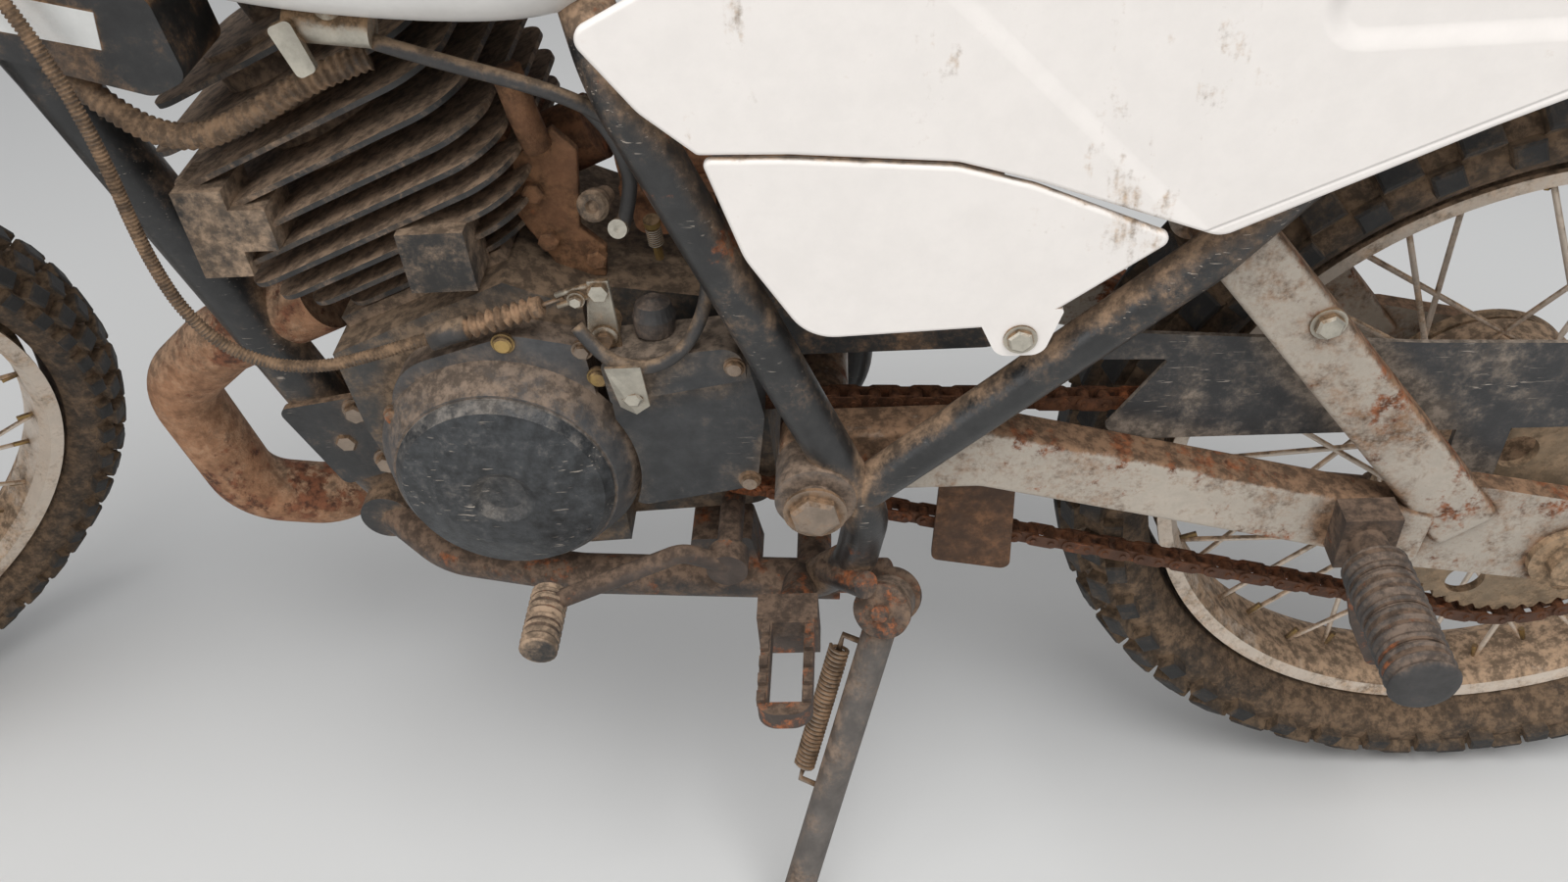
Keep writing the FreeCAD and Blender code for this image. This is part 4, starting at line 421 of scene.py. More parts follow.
# Tyres: a carcass moulded in one with rows of knobs, the rubber brown with dried mud on
# its sides and worn black on the knobs.
tyre_side = worn_finish("tyre_side", (0.030, 0.024, 0.019), (0.175, 0.112, 0.066), dusty=0.64,
                        rough=0.8, grain=0.35, crevice=0.3, upward=0.05)
tyre_knob = worn_finish("tyre_knob", (0.020, 0.019, 0.018), (0.16, 0.105, 0.062), dusty=0.48,
                        rough=0.75, grain=0.3, crevice=0.9, upward=0.05)
TYRE_STEPS = 160
TYRE_PARTS = 30
BEAD_ANGLE = 152
RIBS_FROM = 60
RIB_HEIGHT = 0.0012
KNOB_CHAMFER = 0.0015


def new_piece(name, verts, faces, material, place=None, smooth=False):
    """A mesh piece in the frame, its place in its vertices."""
    mesh = bpy.data.meshes.new(name)
    mesh.from_pydata(verts, [], faces)
    if place is not None:
        mesh.transform(place)
    if smooth:
        mesh.shade_smooth()
    mesh.materials.append(material)
    piece = bpy.data.objects.new(name, mesh)
    scene.collection.objects.link(piece)
    return piece


def join_into(name, pieces):
    """One piece out of several meshes that ride together."""
    bpy.ops.object.select_all(action="DESELECT")
    for piece in pieces:
        piece.select_set(True)
    bpy.context.view_layer.objects.active = pieces[0]
    bpy.ops.object.join()
    pieces[0].name = name
    return pieces[0]


def repeat_tree():
    """Nodes that set a piece out on points, turned and sized by the points' attributes."""
    tree = bpy.data.node_groups.new("set_out", "GeometryNodeTree")
    tree.interface.new_socket("Spots", in_out="INPUT", socket_type="NodeSocketGeometry")
    tree.interface.new_socket("Piece", in_out="INPUT", socket_type="NodeSocketObject")
    tree.interface.new_socket("Finish", in_out="INPUT", socket_type="NodeSocketMaterial")
    tree.interface.new_socket("Pieces", in_out="OUTPUT", socket_type="NodeSocketGeometry")
    nodes = tree.nodes
    start = nodes.new("NodeGroupInput")
    piece = nodes.new("GeometryNodeObjectInfo")
    attributes = {}
    for attribute in ("turn", "size"):
        unit = nodes.new("GeometryNodeInputNamedAttribute")
        unit.data_type = "FLOAT_VECTOR"
        unit.inputs["Name"].default_value = attribute
        attributes[attribute] = unit.outputs["Attribute"]
    instance = nodes.new("GeometryNodeInstanceOnPoints")
    realize = nodes.new("GeometryNodeRealizeInstances")
    finish = nodes.new("GeometryNodeSetMaterial")
    end = nodes.new("NodeGroupOutput")
    link = tree.links.new
    link(start.outputs["Spots"], instance.inputs["Points"])
    link(start.outputs["Piece"], piece.inputs["Object"])
    link(piece.outputs["Geometry"], instance.inputs["Instance"])
    link(attributes["turn"], instance.inputs["Rotation"])
    link(attributes["size"], instance.inputs["Scale"])
    link(instance.outputs["Instances"], realize.inputs["Geometry"])
    link(realize.outputs["Geometry"], finish.inputs["Geometry"])
    link(start.outputs["Finish"], finish.inputs["Material"])
    link(finish.outputs["Geometry"], end.inputs["Pieces"])
    return tree


set_out_tree = repeat_tree()


def set_out(name, unit, spots, material, place):
    """Copies of unit at every spot (a matrix), as one plain mesh placed in the frame."""
    points = bpy.data.meshes.new(name + "_spots")
    points.from_pydata([tuple(spot.translation) for spot in spots], [], [])
    turn = points.attributes.new("turn", "FLOAT_VECTOR", "POINT")
    size = points.attributes.new("size", "FLOAT_VECTOR", "POINT")
    for index, spot in enumerate(spots):
        turn.data[index].vector = spot.to_euler()
        size.data[index].vector = spot.to_scale()
    piece = bpy.data.objects.new(name, points)
    scene.collection.objects.link(piece)
    modifier = piece.modifiers.new("set_out", "NODES")
    modifier.node_group = set_out_tree
    sockets = {item.name: item.identifier for item in set_out_tree.interface.items_tree
               if item.in_out == "INPUT"}
    modifier[sockets["Piece"]] = unit
    modifier[sockets["Finish"]] = material
    graph = bpy.context.evaluated_depsgraph_get()
    baked = bpy.data.meshes.new_from_object(piece.evaluated_get(graph))
    piece.modifiers.remove(modifier)
    piece.data = baked
    baked.transform(place)
    baked.materials.clear()
    baked.materials.append(material)
    bpy.data.objects.remove(unit)
    return piece


def walls(low, count):
    """Quads from the ring of count points that starts at low to the ring after it."""
    return [(low + step, low + (step + 1) % count, low + count + (step + 1) % count,
             low + count + step) for step in range(count)]


def block(name, length, width, height, chamfer, material):
    """A moulded block with chamfered top edges: length along X, width Y, height Z."""
    verts = []
    for level, inset in ((-0.3 * height, 0.0), (height - chamfer, 0.0), (height, chamfer)):
        for x, y in ((-1, -1), (1, -1), (1, 1), (-1, 1)):
            verts.append((x * (length / 2 - inset), y * (width / 2 - inset), level))
    faces = [(3, 2, 1, 0), (8, 9, 10, 11)] + walls(0, 4) + walls(4, 4)
    return new_piece(name, verts, faces, material)


def spoke(angle):
    """The way out from a wheel's hub at this angle."""
    return Vector((math.cos(angle), 0, math.sin(angle)))


def knobby_tyre(name, body, node, place, radius, rim_radius, half_width, knob, count, rows):
    """Carcass and knobs; rows holds (angle over the crown, knob length, width, offset)."""
    crown = radius - knob
    middle = (crown + rim_radius) / 2
    tall = (crown - rim_radius) / 2
    verts = []
    faces = []
    for step in range(TYRE_STEPS):
        angle = 2 * math.pi * step / TYRE_STEPS
        for part in range(TYRE_PARTS + 1):
            slope = math.radians(-BEAD_ANGLE + 2 * BEAD_ANGLE * part / TYRE_PARTS)
            reach = middle + tall * math.cos(slope)
            if abs(slope) > math.radians(RIBS_FROM):
                reach += RIB_HEIGHT * math.cos(part * math.pi)
            verts.append((reach * math.cos(angle), half_width * math.sin(slope),
                          reach * math.sin(angle)))
    for step in range(TYRE_STEPS):
        here = step * (TYRE_PARTS + 1)
        after = ((step + 1) % TYRE_STEPS) * (TYRE_PARTS + 1)
        for part in range(TYRE_PARTS):
            faces.append((here + part, here + part + 1, after + part + 1, after + part))
        faces.append((here, after, after + TYRE_PARTS, here + TYRE_PARTS))
    parts = [new_piece(name + "_carcass", verts, faces, tyre_side, place, smooth=True)]
    for row, (slope_deg, length, width, offset) in enumerate(rows):
        unit = block(name + "_unit", length, width, knob, KNOB_CHAMFER, tyre_knob)
        spots = []
        slope = math.radians(slope_deg)
        reach = middle + tall * math.cos(slope)
        for index in range(count):
            angle = 2 * math.pi * (index + offset) / count
            out = spoke(angle)
            along = Vector((-math.sin(angle), 0, math.cos(angle)))
            up = out * math.cos(slope) * half_width + Vector((0, math.sin(slope) * tall, 0))
            up.normalize()
            side = up.cross(along)
            spot = out * reach + Vector((0, half_width * math.sin(slope), 0))
            turn = Matrix((along, side, up)).transposed().to_4x4()
            spots.append(Matrix.Translation(spot) @ turn)
        parts.append(set_out(name + f"_knobs_{row}", unit, spots, tyre_knob, place))
    tyre = join_into(name, parts)
    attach(tyre, body)
    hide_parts(node)


FRONT_ROWS = [
    # angle over the crown, length, width, offset round the tyre
    (0, 0.020, 0.016, 0.0), (30, 0.020, 0.015, 0.5), (-30, 0.020, 0.015, 0.5),
    (58, 0.019, 0.013, 0.0), (-58, 0.019, 0.013, 0.0), (82, 0.015, 0.011, 0.5),
    (-82, 0.015, 0.011, 0.5),
]
REAR_ROWS = [
    (0, 0.024, 0.024, 0.0), (32, 0.022, 0.018, 0.5), (-32, 0.022, 0.018, 0.5),
    (60, 0.022, 0.016, 0.0), (-60, 0.022, 0.016, 0.0), (84, 0.017, 0.013, 0.5),
    (-84, 0.017, 0.013, 0.5),
]
knobby_tyre("front_knobby_tyre", "front_wheel", "front_tyre", front_place, FRONT_RADIUS,
            rim_radius=0.277, half_width=0.036, knob=0.009, count=56, rows=FRONT_ROWS)
knobby_tyre("rear_knobby_tyre", "rear_wheel", "rear_tyre", rear_place, REAR_RADIUS,
            rim_radius=0.241, half_width=0.047, knob=0.009, count=42, rows=REAR_ROWS)

# Chain: steel rollers between paired plates on pins, a narrow link inside each wide one's ends.
# It runs round both sprockets and has rusted all over.
LEFT = (0, 1, 0)
CHAIN_Y = 0.066
CHAIN_PITCH = 0.0127
CHAIN_LINKS = 120
REAR_TEETH = 48
FRONT_TEETH = 16
SPROCKET = Vector((0.550, 0, 0.402))
PLATE_RADIUS = 0.0048
PLATE_WALL = 0.0014
ROLLER_RADIUS = 0.0042
PIN_RADIUS = 0.0019
PIN_END = 0.0012
chain_metal = worn_finish("chain_metal", (0.085, 0.036, 0.018), (0.17, 0.070, 0.032), dusty=0.50,
                          rusty=0.50, rough=0.6, metal=0.3, patch=2.0)


def prism(outline, low, high):
    """Points and faces of a flat piece: its outline (x, z) from y low to y high."""
    count = len(outline)
    verts = [(x, y, z) for y in (low, high) for x, z in outline]
    faces = [tuple(range(count)), tuple(reversed(range(count, 2 * count)))]
    faces += [(side, side + count, (side + 1) % count + count, (side + 1) % count)
              for side in range(count)]
    return verts, faces


def link_mesh(name, plate_y, with_rollers):
    """Two figure-of-eight plates on their rollers or pins."""
    verts = []
    faces = []
    reach = CHAIN_PITCH / 2

    def add(outline, low, high):
        first = len(verts)
        more, sides = prism(outline, low, high)
        verts.extend(more)
        faces.extend(tuple(first + number for number in side) for side in sides)

    plate = []
    for step in range(14):
        angle = 2 * math.pi * step / 14
        x = PLATE_RADIUS * math.cos(angle) + (reach if math.cos(angle) >= 0 else -reach)
        plate.append((x, PLATE_RADIUS * math.sin(angle)))
    for side in (1, -1):
        add(plate, *sorted((side * plate_y, side * (plate_y + PLATE_WALL))))
    if with_rollers:
        radius, half = ROLLER_RADIUS, plate_y
    else:
        radius, half = PIN_RADIUS, plate_y + PLATE_WALL + PIN_END
    for centre in (-reach, reach):
        add([(centre + radius * math.cos(math.pi * step / 5),
              radius * math.sin(math.pi * step / 5)) for step in range(10)], -half, half)
    return new_piece(name, verts, faces, chain_metal)


def chain_route(count):
    """Evenly spaced places on the loop round both sprockets, with the headings there."""
    rear = CHAIN_PITCH / (2 * math.sin(math.pi / REAR_TEETH))
    front = CHAIN_PITCH / (2 * math.sin(math.pi / FRONT_TEETH))
    rear_hub = Vector((0, 0, REAR_RADIUS))
    run = SPROCKET - rear_hub
    gap = run.length
    heading = math.atan2(run.z, run.x)
    spread = math.acos((rear - front) / gap)
    straight = math.sqrt(gap ** 2 - (rear - front) ** 2)
    rear_arc = rear * 2 * (math.pi - spread)
    front_arc = front * 2 * spread
    total = 2 * straight + rear_arc + front_arc
    top = heading + spread
    low = heading - spread
    side = Vector(LEFT)
    places = []
    for index in range(count):
        gone = total * index / count
        ahead = 0.0
        if gone < straight:
            hub, radius, angle, ahead = rear_hub, rear, top, gone
        elif gone < straight + front_arc:
            hub, radius, angle = SPROCKET, front, top - (gone - straight) / front
        elif gone < 2 * straight + front_arc:
            hub, radius, angle, ahead = SPROCKET, front, low, gone - straight - front_arc
        else:
            hub, radius = rear_hub, rear
            angle = low - (gone - 2 * straight - front_arc) / rear
        normal = spoke(angle)
        along = side.cross(normal)
        spot = hub + normal * radius + along * ahead + side * CHAIN_Y
        turn = Matrix((along, side, normal)).transposed().to_4x4()
        places.append(Matrix.Translation(spot) @ turn)
    return places


places = chain_route(CHAIN_LINKS)
wide_link = link_mesh("wide_link", plate_y=0.0052, with_rollers=False)
narrow_link = link_mesh("narrow_link", plate_y=0.0036, with_rollers=True)
chain_parts = [
    set_out("wide_links", wide_link, places[0::2], chain_metal, parked),
    set_out("narrow_links", narrow_link, places[1::2], chain_metal, parked),
]
drive_chain = join_into("drive_chain", chain_parts)
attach(drive_chain, "chassis")
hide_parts("chain")

# Clutch cable: an outer wound from flat wire, which shows as fine rings, in a rubber boot
# with deep folds where it meets the arm on the engine. It and the small pieces below are
# measured in millimetres on the upright machine.
CABLE_ROUTE = [
    # x, y, z from beside the head tube down to the clutch arm
    (946, 27, 797), (928, 33, 784), (906, 46, 774), (884, 65, 766), (862, 86, 757),
    (844, 101, 738), (832, 107, 715), (825, 108, 689), (820, 110, 661), (819, 110, 631),
    (820, 110, 601), (819, 110, 571), (814, 110, 543), (800, 110, 518), (776, 110, 504),
    (748, 109, 501), (720, 107, 506), (694, 104, 512), (668, 101, 517), (642, 100, 523),
    (618, 100, 531),
]
CABLE_RINGS = 250
MM = Matrix.Scale(0.001, 4)
cable_outer = worn_finish("cable_outer", (0.045, 0.038, 0.032), (0.20, 0.125, 0.072), dusty=0.66,
                          rough=0.7, crevice=0.8)
boot_rubber = worn_finish("boot_rubber", (0.10, 0.070, 0.048), (0.27, 0.165, 0.095), dusty=0.75,
                          rough=0.8, crevice=0.5)


def skin(rows, count):
    """Faces of a closed body made of rows of count points each."""
    faces = []
    for row in range(rows - 1):
        faces += walls(row * count, count)
    faces.append(tuple(reversed(range(count))))
    faces.append(tuple((rows - 1) * count + step for step in range(count)))
    return faces


def turned(profile, count):
    """The points of a body turned about its Z axis; profile holds (height, radius)."""
    verts = []
    for height, radius in profile:
        for step in range(count):
            angle = 2 * math.pi * step / count
            verts.append((radius * math.cos(angle), radius * math.sin(angle), height))
    return verts


def lathe(name, profile, material, place, count=24, base=parked):
    """A turned piece on its place."""
    return new_piece(name, turned(profile, count), skin(len(profile), count), material,
                     base @ MM @ place)


def facing(point, direction, turn=0.0):
    """Stands a turned piece on a point, its Z axis along the direction."""
    spin = Vector(direction).to_track_quat("Z", "Y").to_matrix().to_4x4()
    return Matrix.Translation(Vector(point)) @ spin @ Matrix.Rotation(turn, 4, "Z")


def straight_line(start, end, steps):
    """Even samples from one place to another."""
    return [Vector(start).lerp(Vector(end), step / steps) for step in range(steps + 1)]


def spline_route(route, count):
    """Even samples of a route once it is a NURBS curve."""
    curve = bpy.data.curves.new("route", "CURVE")
    curve.dimensions = "3D"
    curve.resolution_u = 24
    spline = curve.splines.new("NURBS")
    spline.points.add(len(route) - 1)
    for point, place in zip(spline.points, route):
        point.co = (*place, 1)
    spline.order_u = 3
    spline.use_endpoint_u = True
    holder = bpy.data.objects.new("route", curve)
    scene.collection.objects.link(holder)
    graph = bpy.context.evaluated_depsgraph_get()
    line = bpy.data.meshes.new_from_object(holder.evaluated_get(graph))
    points = [vertex.co.copy() for vertex in line.vertices]
    bpy.data.objects.remove(holder)
    bpy.data.meshes.remove(line)
    bpy.data.curves.remove(curve)
    lengths = [0.0]
    for before, after in zip(points, points[1:]):
        lengths.append(lengths[-1] + (after - before).length)
    samples = []
    index = 0
    for step in range(count):
        wanted = lengths[-1] * step / (count - 1)
        while index < len(points) - 2 and lengths[index + 1] < wanted:
            index += 1
        share = (wanted - lengths[index]) / max(1e-9, lengths[index + 1] - lengths[index])
        samples.append(points[index].lerp(points[index + 1], share))
    return samples


def tube(name, samples, radius, material, sides=12):
    """A tube through the samples; radius is a number or a function of the sample's number."""
    verts = []
    across = (samples[1] - samples[0]).normalized().orthogonal().normalized()
    for index, sample in enumerate(samples):
        ahead = samples[min(index + 1, len(samples) - 1)] - samples[max(index - 1, 0)]
        ahead.normalize()
        across = (across - ahead * across.dot(ahead)).normalized()
        over = ahead.cross(across)
        reach = radius(index) if callable(radius) else radius
        for side in range(sides):
            angle = 2 * math.pi * side / sides
            verts.append(sample + (across * math.cos(angle) + over * math.sin(angle)) * reach)
    return new_piece(name, verts, skin(len(samples), sides), material, parked @ MM, smooth=True)


def ribbed(radius, depth, period, last=None, lip=0.0):
    """A tube's radius that waves once in a period of samples, less a lip at both its ends."""
    return lambda index: (radius + depth * math.cos(2 * math.pi * index / period)
                          - (lip if index in (0, last) else 0.0))


samples = spline_route(CABLE_ROUTE, CABLE_RINGS * 3 + 1)
cable = tube("cable_outer", samples, lambda index: 3.8 if index % 3 else 2.9, cable_outer, 10)
boot = tube("cable_boot", straight_line((668, 101, 517), (622, 100, 529.5), 36),
            ribbed(5.2, 1.8, 4), boot_rubber, 16)
boot_end = lathe("boot_end", [(0, 4.5), (1, 6), (6, 6), (7, 4.5)], boot_rubber,
                 facing((623.5, 100, 529), (-0.96, 0, 0.26)))
clutch_cable = join_into("clutch_cable", [cable, boot, boot_end])
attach(clutch_cable, "chassis")
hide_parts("clutch_cable")

# Hoses: a plain one that loops behind the frame tube, and a ribbed one below the bottle. Both
# are moulded in black rubber and have gone brown with dust.
BREATHER_ROUTE = [
    (668, 100, 688), (638, 100, 676), (606, 100, 665), (576, 99, 652), (550, 98, 632),
    (532, 97, 606), (523, 98, 576), (521, 102, 548), (527, 108, 525), (538, 116, 509),
    (554, 121, 501), (572, 121, 502), (587, 117, 510), (597, 111, 524),
]
INTAKE_ROUTE = [
    (842, 80, 678), (816, 88, 650), (782, 93, 637), (748, 92, 647), (712, 84, 664),
    (682, 76, 670),
]
hose_black = worn_finish("hose_black", (0.030, 0.028, 0.027), (0.22, 0.15, 0.095), dusty=0.42,
                         rough=0.5)
breather = tube("breather", spline_route(BREATHER_ROUTE, 90), 4, hose_black, 14)
intake = tube("intake", spline_route(INTAKE_ROUTE, 241), ribbed(6.6, 0.6, 6), cable_outer, 16)
hoses = join_into("hoses", [breather, intake])
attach(hoses, "chassis")
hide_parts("hoses")

# Small fastenings: screws, bolts and nuts on the left side, each with its washer, in brass,
# zinc or old steel. They are turned pieces with round or six-sided heads, from one table.
brass = worn_finish("brass", (0.40, 0.27, 0.10), (0.28, 0.19, 0.11), dusty=0.42, rough=0.4,
                    metal=0.7)
old_steel = worn_finish("old_steel", (0.28, 0.22, 0.17), (0.27, 0.17, 0.10), dusty=0.5, rusty=0.35,
                        rough=0.5, metal=0.5)
SCREWS = [
    # x, y of the seat, z, head radius, head height, sides, finish
    (645, 98, 505, 5.5, 4, 24, brass), (594, 98, 478, 5.5, 4, 24, brass),
    (722, 98, 455, 5.5, 5, 24, old_steel), (700, 98, 351, 5.5, 5, 24, old_steel),
    (620, 98, 352, 5.5, 5, 24, old_steel), (512, 106, 400, 5.5, 5, 24, old_steel),
    (512, 114, 494, 5.0, 4, 24, old_steel), (358, 142, 527, 7.0, 4, 6, zinc),
    (596, 104, 537, 4.0, 4, 6, zinc), (598, 106, 504, 5.0, 4, 6, old_steel),
    (471, 148, 411, 15.0, 7, 6, old_steel), (187, 106, 502, 8.0, 6, 6, zinc),
    (800, 17, 369, 8.0, 8, 6, old_steel), (775, 23, 352, 8.0, 7, 6, old_steel),
    (784, 23, 398, 8.0, 7, 6, old_steel), (540, 80, 304, 8.0, 8, 6, old_steel),
]
heads = []
for index, (x, y, z, radius, height, sides, finish) in enumerate(SCREWS):
    place = facing((x, y, z), LEFT, index * 0.7)
    heads.append(lathe("washer", [(-1, radius * 1.25), (1.2, radius * 1.25)], finish, place))
    heads.append(lathe("head", [(0, radius), (height * 0.75, radius), (height, radius * 0.8)],
                       finish, place, sides))
fastenings = join_into("fastenings", heads)
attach(fastenings, "chassis")

# Hose clip: a tab of zinc-plated strip, held by one bolt above the chain's cover. Its upper
# part steps outwards and holds the hose.
CLIP_OUTLINE = [(563, 470), (571.5, 464), (580, 470), (582, 507), (562, 507)]
CLIP_BEND = 490
CLIP_STEP = 11.5
tab_verts, tab_faces = prism(CLIP_OUTLINE, 115, 117)
tab_verts = [(x, y + (CLIP_STEP if z > CLIP_BEND else 0), z) for x, y, z in tab_verts]
clip_parts = [
    lathe("clip_bolt", [(0, 6), (4, 6), (5, 4.5)], zinc, facing((571.5, 116.5, 478), LEFT), 6),
    new_piece("clip_tab", tab_verts, tab_faces, zinc, parked @ MM),
]
hose_clip = join_into("hose_clip", clip_parts)
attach(hose_clip, "chassis")


# Clutch arm: a zinc-plated plate on the shaft that comes out of the cases, held by a nut.
# A fork of wire at its tip takes the end of the cable.
def settle(piece):
    """The piece with its modifiers worked into its mesh."""
    graph = bpy.context.evaluated_depsgraph_get()
    mesh = bpy.data.meshes.new_from_object(piece.evaluated_get(graph))
    piece.modifiers.clear()
    piece.data = mesh
    return piece


def slab(name, corners, y, depth, material):
    """A thin flat piece against the left side, from its corners (x, z), its edges eased."""
    ring = zip(corners, corners[1:] + corners[:1])
    if sum(here[0] * after[1] - after[0] * here[1] for here, after in ring) < 0:
        corners = corners[::-1]
    piece = new_piece(name, *prism(corners, y, y + depth), material, parked @ MM)
    bevel = piece.modifiers.new("edge", "BEVEL")
    bevel.width = min(0.0012, depth / 3000)
    bevel.segments = 2
    return settle(piece)


def vectors(*places):
    """Places as vectors."""
    return [Vector(place) for place in places]


arm_parts = [
    slab("arm_plate", [(577, 547), (589, 547), (595, 508), (588, 498), (576, 500)], 98.5, 3.5,
         zinc),
    lathe("arm_shaft", [(0, 7.5), (20, 7.5), (21, 6)], zinc, facing((584.5, 84, 510), LEFT)),
    lathe("arm_nut", [(0, 5), (4, 5)], old_steel, facing((584.5, 105, 510), LEFT), 6),
    lathe("arm_bolt", [(0, 5.5), (4, 5.5)], zinc, facing((583, 102, 541), LEFT), 6),
]
for rise in (-3.5, 3.5):
    fork_line = vectors((608, 100, 534 + rise), (596, 100.5, 538 + rise), (584, 100.5, 541 + rise))
    arm_parts.append(tube("arm_fork", fork_line, 1.7, zinc, 8))
arm_parts.append(tube("inner_wire", vectors((622, 100, 529.5), (604, 100, 536)), 1.2, old_steel, 8))
clutch_arm = join_into("clutch_arm", arm_parts)
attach(clutch_arm, "chassis")
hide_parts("clutch_arm")

# Intake: a rusty flange plate with its bolts, the choke's knob, a plugged hose, the idle
# screw in its spring, and a rubber bulb over the lead behind the arm.
flange_rust = worn_finish("flange_rust", (0.19, 0.085, 0.038), (0.23, 0.115, 0.055), dusty=0.6,
                          rusty=0.3, rough=0.8, grain=0.3)
flange_parts = [
    slab("flange", [(631, 592), (638, 561), (615, 513), (591, 512), (588, 532), (601, 546),
                    (594, 596), (606, 610)], 39, 6, flange_rust),
]
for x, z in ((623, 572), (620, 540), (594, 526)):
    flange_parts.append(lathe("flange_bolt", [(0, 6.5), (5, 6.5), (6, 5)], flange_rust,
                              facing((x, 45, z), LEFT, x), 6))
flange_parts.append(tube("flange_pipe", vectors((615, 46, 600), (618, 50, 622), (622, 50, 648)),
                         8.5, flange_rust, 14))
intake_flange = join_into("intake_flange", flange_parts)
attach(intake_flange, "chassis")


def coil(start, axes, lead, length, radius, turns, steps):
    """A coil's line about the first axis; it starts a lead away along it."""
    along, ahead, side = axes
    line = []
    for step in range(turns * steps + 1):
        angle = 2 * math.pi * step / steps
        line.append(start + along * (lead + length * step / (turns * steps))
                    + (ahead * math.cos(angle) + side * math.sin(angle)) * radius)
    return line


IDLE_SCREW = (559, 40, 530)
peg_grey = worn_finish("peg_grey", (0.038, 0.036, 0.035), (0.16, 0.115, 0.086), dusty=0.38,
                       rough=0.7)
fuel_line = spline_route([(580, 75, 640), (569, 75, 626), (562, 74, 606), (561, 72, 586),
                          (570, 70, 562)], 30)
fuel_parts = [
    tube("plugged_hose", fuel_line, 4.2, hose_black, 14),
    lathe("hose_end", [(0, 5.5), (6, 5.5), (6, 2.2), (5.5, 0)], zinc,
          facing((572, 70, 561), (0.1, 1, 0.35))),
    lathe("choke_knob", [(-16, 6), (0, 6), (1, 9), (9, 9.5), (11, 7.5), (11, 4), (8, 3)],
          damper_rubber, facing((588, 46, 563), (0.1, 1, 0.3)), 20),
    lathe("idle_screw", [(-12, 2.8), (16, 2.8), (16, 5), (20, 5)], brass,
          facing(IDLE_SCREW, (0.0, 0.25, 1)), 12),
    lathe("bulb", [(0, 4), (4, 10), (12, 12.5), (22, 11.5), (28, 6), (36, 4.5)], peg_grey,
          facing((557, 88, 526), (0.05, 0.1, -1)), 22),
]
idle_axes = vectors((0, 0.2425, 0.970), (1, 0, 0), (0, 0.97, -0.2425))
spring_line = coil(Vector(IDLE_SCREW), idle_axes, lead=1, length=14, radius=4.3, turns=8,
                   steps=12)
fuel_parts.append(tube("idle_spring", spring_line, 0.6, zinc, 6))
carburettor_parts = join_into("carburettor_parts", fuel_parts)
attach(carburettor_parts, "chassis")

# Cable clamp: a short sleeve of black rubber, pushed over the cable near its boot, where the
# cable runs along the cases.
clamp = tube("cable_clamp", vectors((684, 103, 513.5), (672, 101, 516.5), (662, 101, 519)), 7.2,
             hose_black, 18)
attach(clamp, "chassis")

# Spoke nipples: six-sided brass ones, one at each spoke's end in the rim, left and right of
# its middle in turn. Their measures are metres, as the wheels' are.
SPOKES = 36
SPOKE_OFFSET = 0.004
NIPPLE_DEPTH = 0.0275
NIPPLE_RADIUS = 0.0022
NIPPLE_LENGTH = 0.015


def nipples(name, body, place, rim_radius):
    """The nipples of one wheel."""
    profile = [(0.0, NIPPLE_RADIUS), (NIPPLE_LENGTH, NIPPLE_RADIUS)]
    unit = new_piece(name + "_unit", turned(profile, 6), skin(2, 6), brass)
    spots = []
    for index in range(SPOKES):
        out = spoke(2 * math.pi * index / SPOKES)
        side = SPOKE_OFFSET if index % 2 == 0 else -SPOKE_OFFSET
        spot = out * (rim_radius - NIPPLE_DEPTH) + Vector((0, side, 0))
        spots.append(Matrix.Translation(spot) @ out.to_track_quat("Z", "Y").to_matrix().to_4x4())
    piece = set_out(name, unit, spots, brass, place)
    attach(piece, body)


nipples("front_nipples", "front_wheel", front_place, FRONT_RADIUS - 0.059)
nipples("rear_nipples", "rear_wheel", rear_place, REAR_RADIUS - 0.068)

# Rubbers: ribbed sleeves moulded in rubber, pushed over the passenger pegs and over the toe
# of the gear lever.
sleeves = []
for side in (1, -1):
    line = straight_line((142, side * 148, 352), (142, side * 238, 352), 108)
    sleeves.append(tube("peg_sleeve", line, ribbed(18.5, 1.2, 8, 108, 4), peg_grey, 28))
line = straight_line((642, 142, 340), (642, 188, 340), 72)
sleeves.append(tube("lever_sleeve", line, ribbed(11.2, 0.9, 8, 72, 3), damper_rubber, 20))
rubbers = join_into("rubbers", sleeves)
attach(rubbers, "chassis")

# Stand spring: a close coil of steel wire in front of the leg, held between two hooks. It
# follows the leg's line from STAND_PIVOT to STAND_FOOT; STAND_FOLDED is the leg's heading
# when it is up.
STAND_PIVOT = Vector((430, 118, 297))
STAND_FOOT = Vector((516, 223, 40))
STAND_FOLDED = Vector((-0.955, 0.27, 0.05))
SPRING_DOWN = 34
SPRING_AHEAD = 22
SPRING_LENGTH = 116
HOOK_REACH = 20
HOOK_END = 12
down = (STAND_FOOT - STAND_PIVOT).normalized()
stand_axis = down.cross(STAND_FOLDED.normalized()).normalized()
ahead = down.cross(stand_axis).normalized()
coil_from = STAND_PIVOT + down * SPRING_DOWN + ahead * SPRING_AHEAD
coil_line = coil(coil_from, (down, ahead, stand_axis), lead=10, length=96, radius=6.2, turns=30,
                 steps=14)
spring_parts = [tube("stand_spring", coil_line, 1.4, old_steel, 6)]
for along, bend in ((0, HOOK_END), (SPRING_LENGTH, -HOOK_END)):
    foot = coil_from + down * along
    line = [foot - ahead * HOOK_REACH, foot, foot + down * bend]
    spring_parts.append(tube("spring_hook", line, 2.2, old_steel, 8))
stand_spring = join_into("stand_spring_coil", spring_parts)
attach(stand_spring, "side_stand")
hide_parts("stand_spring")

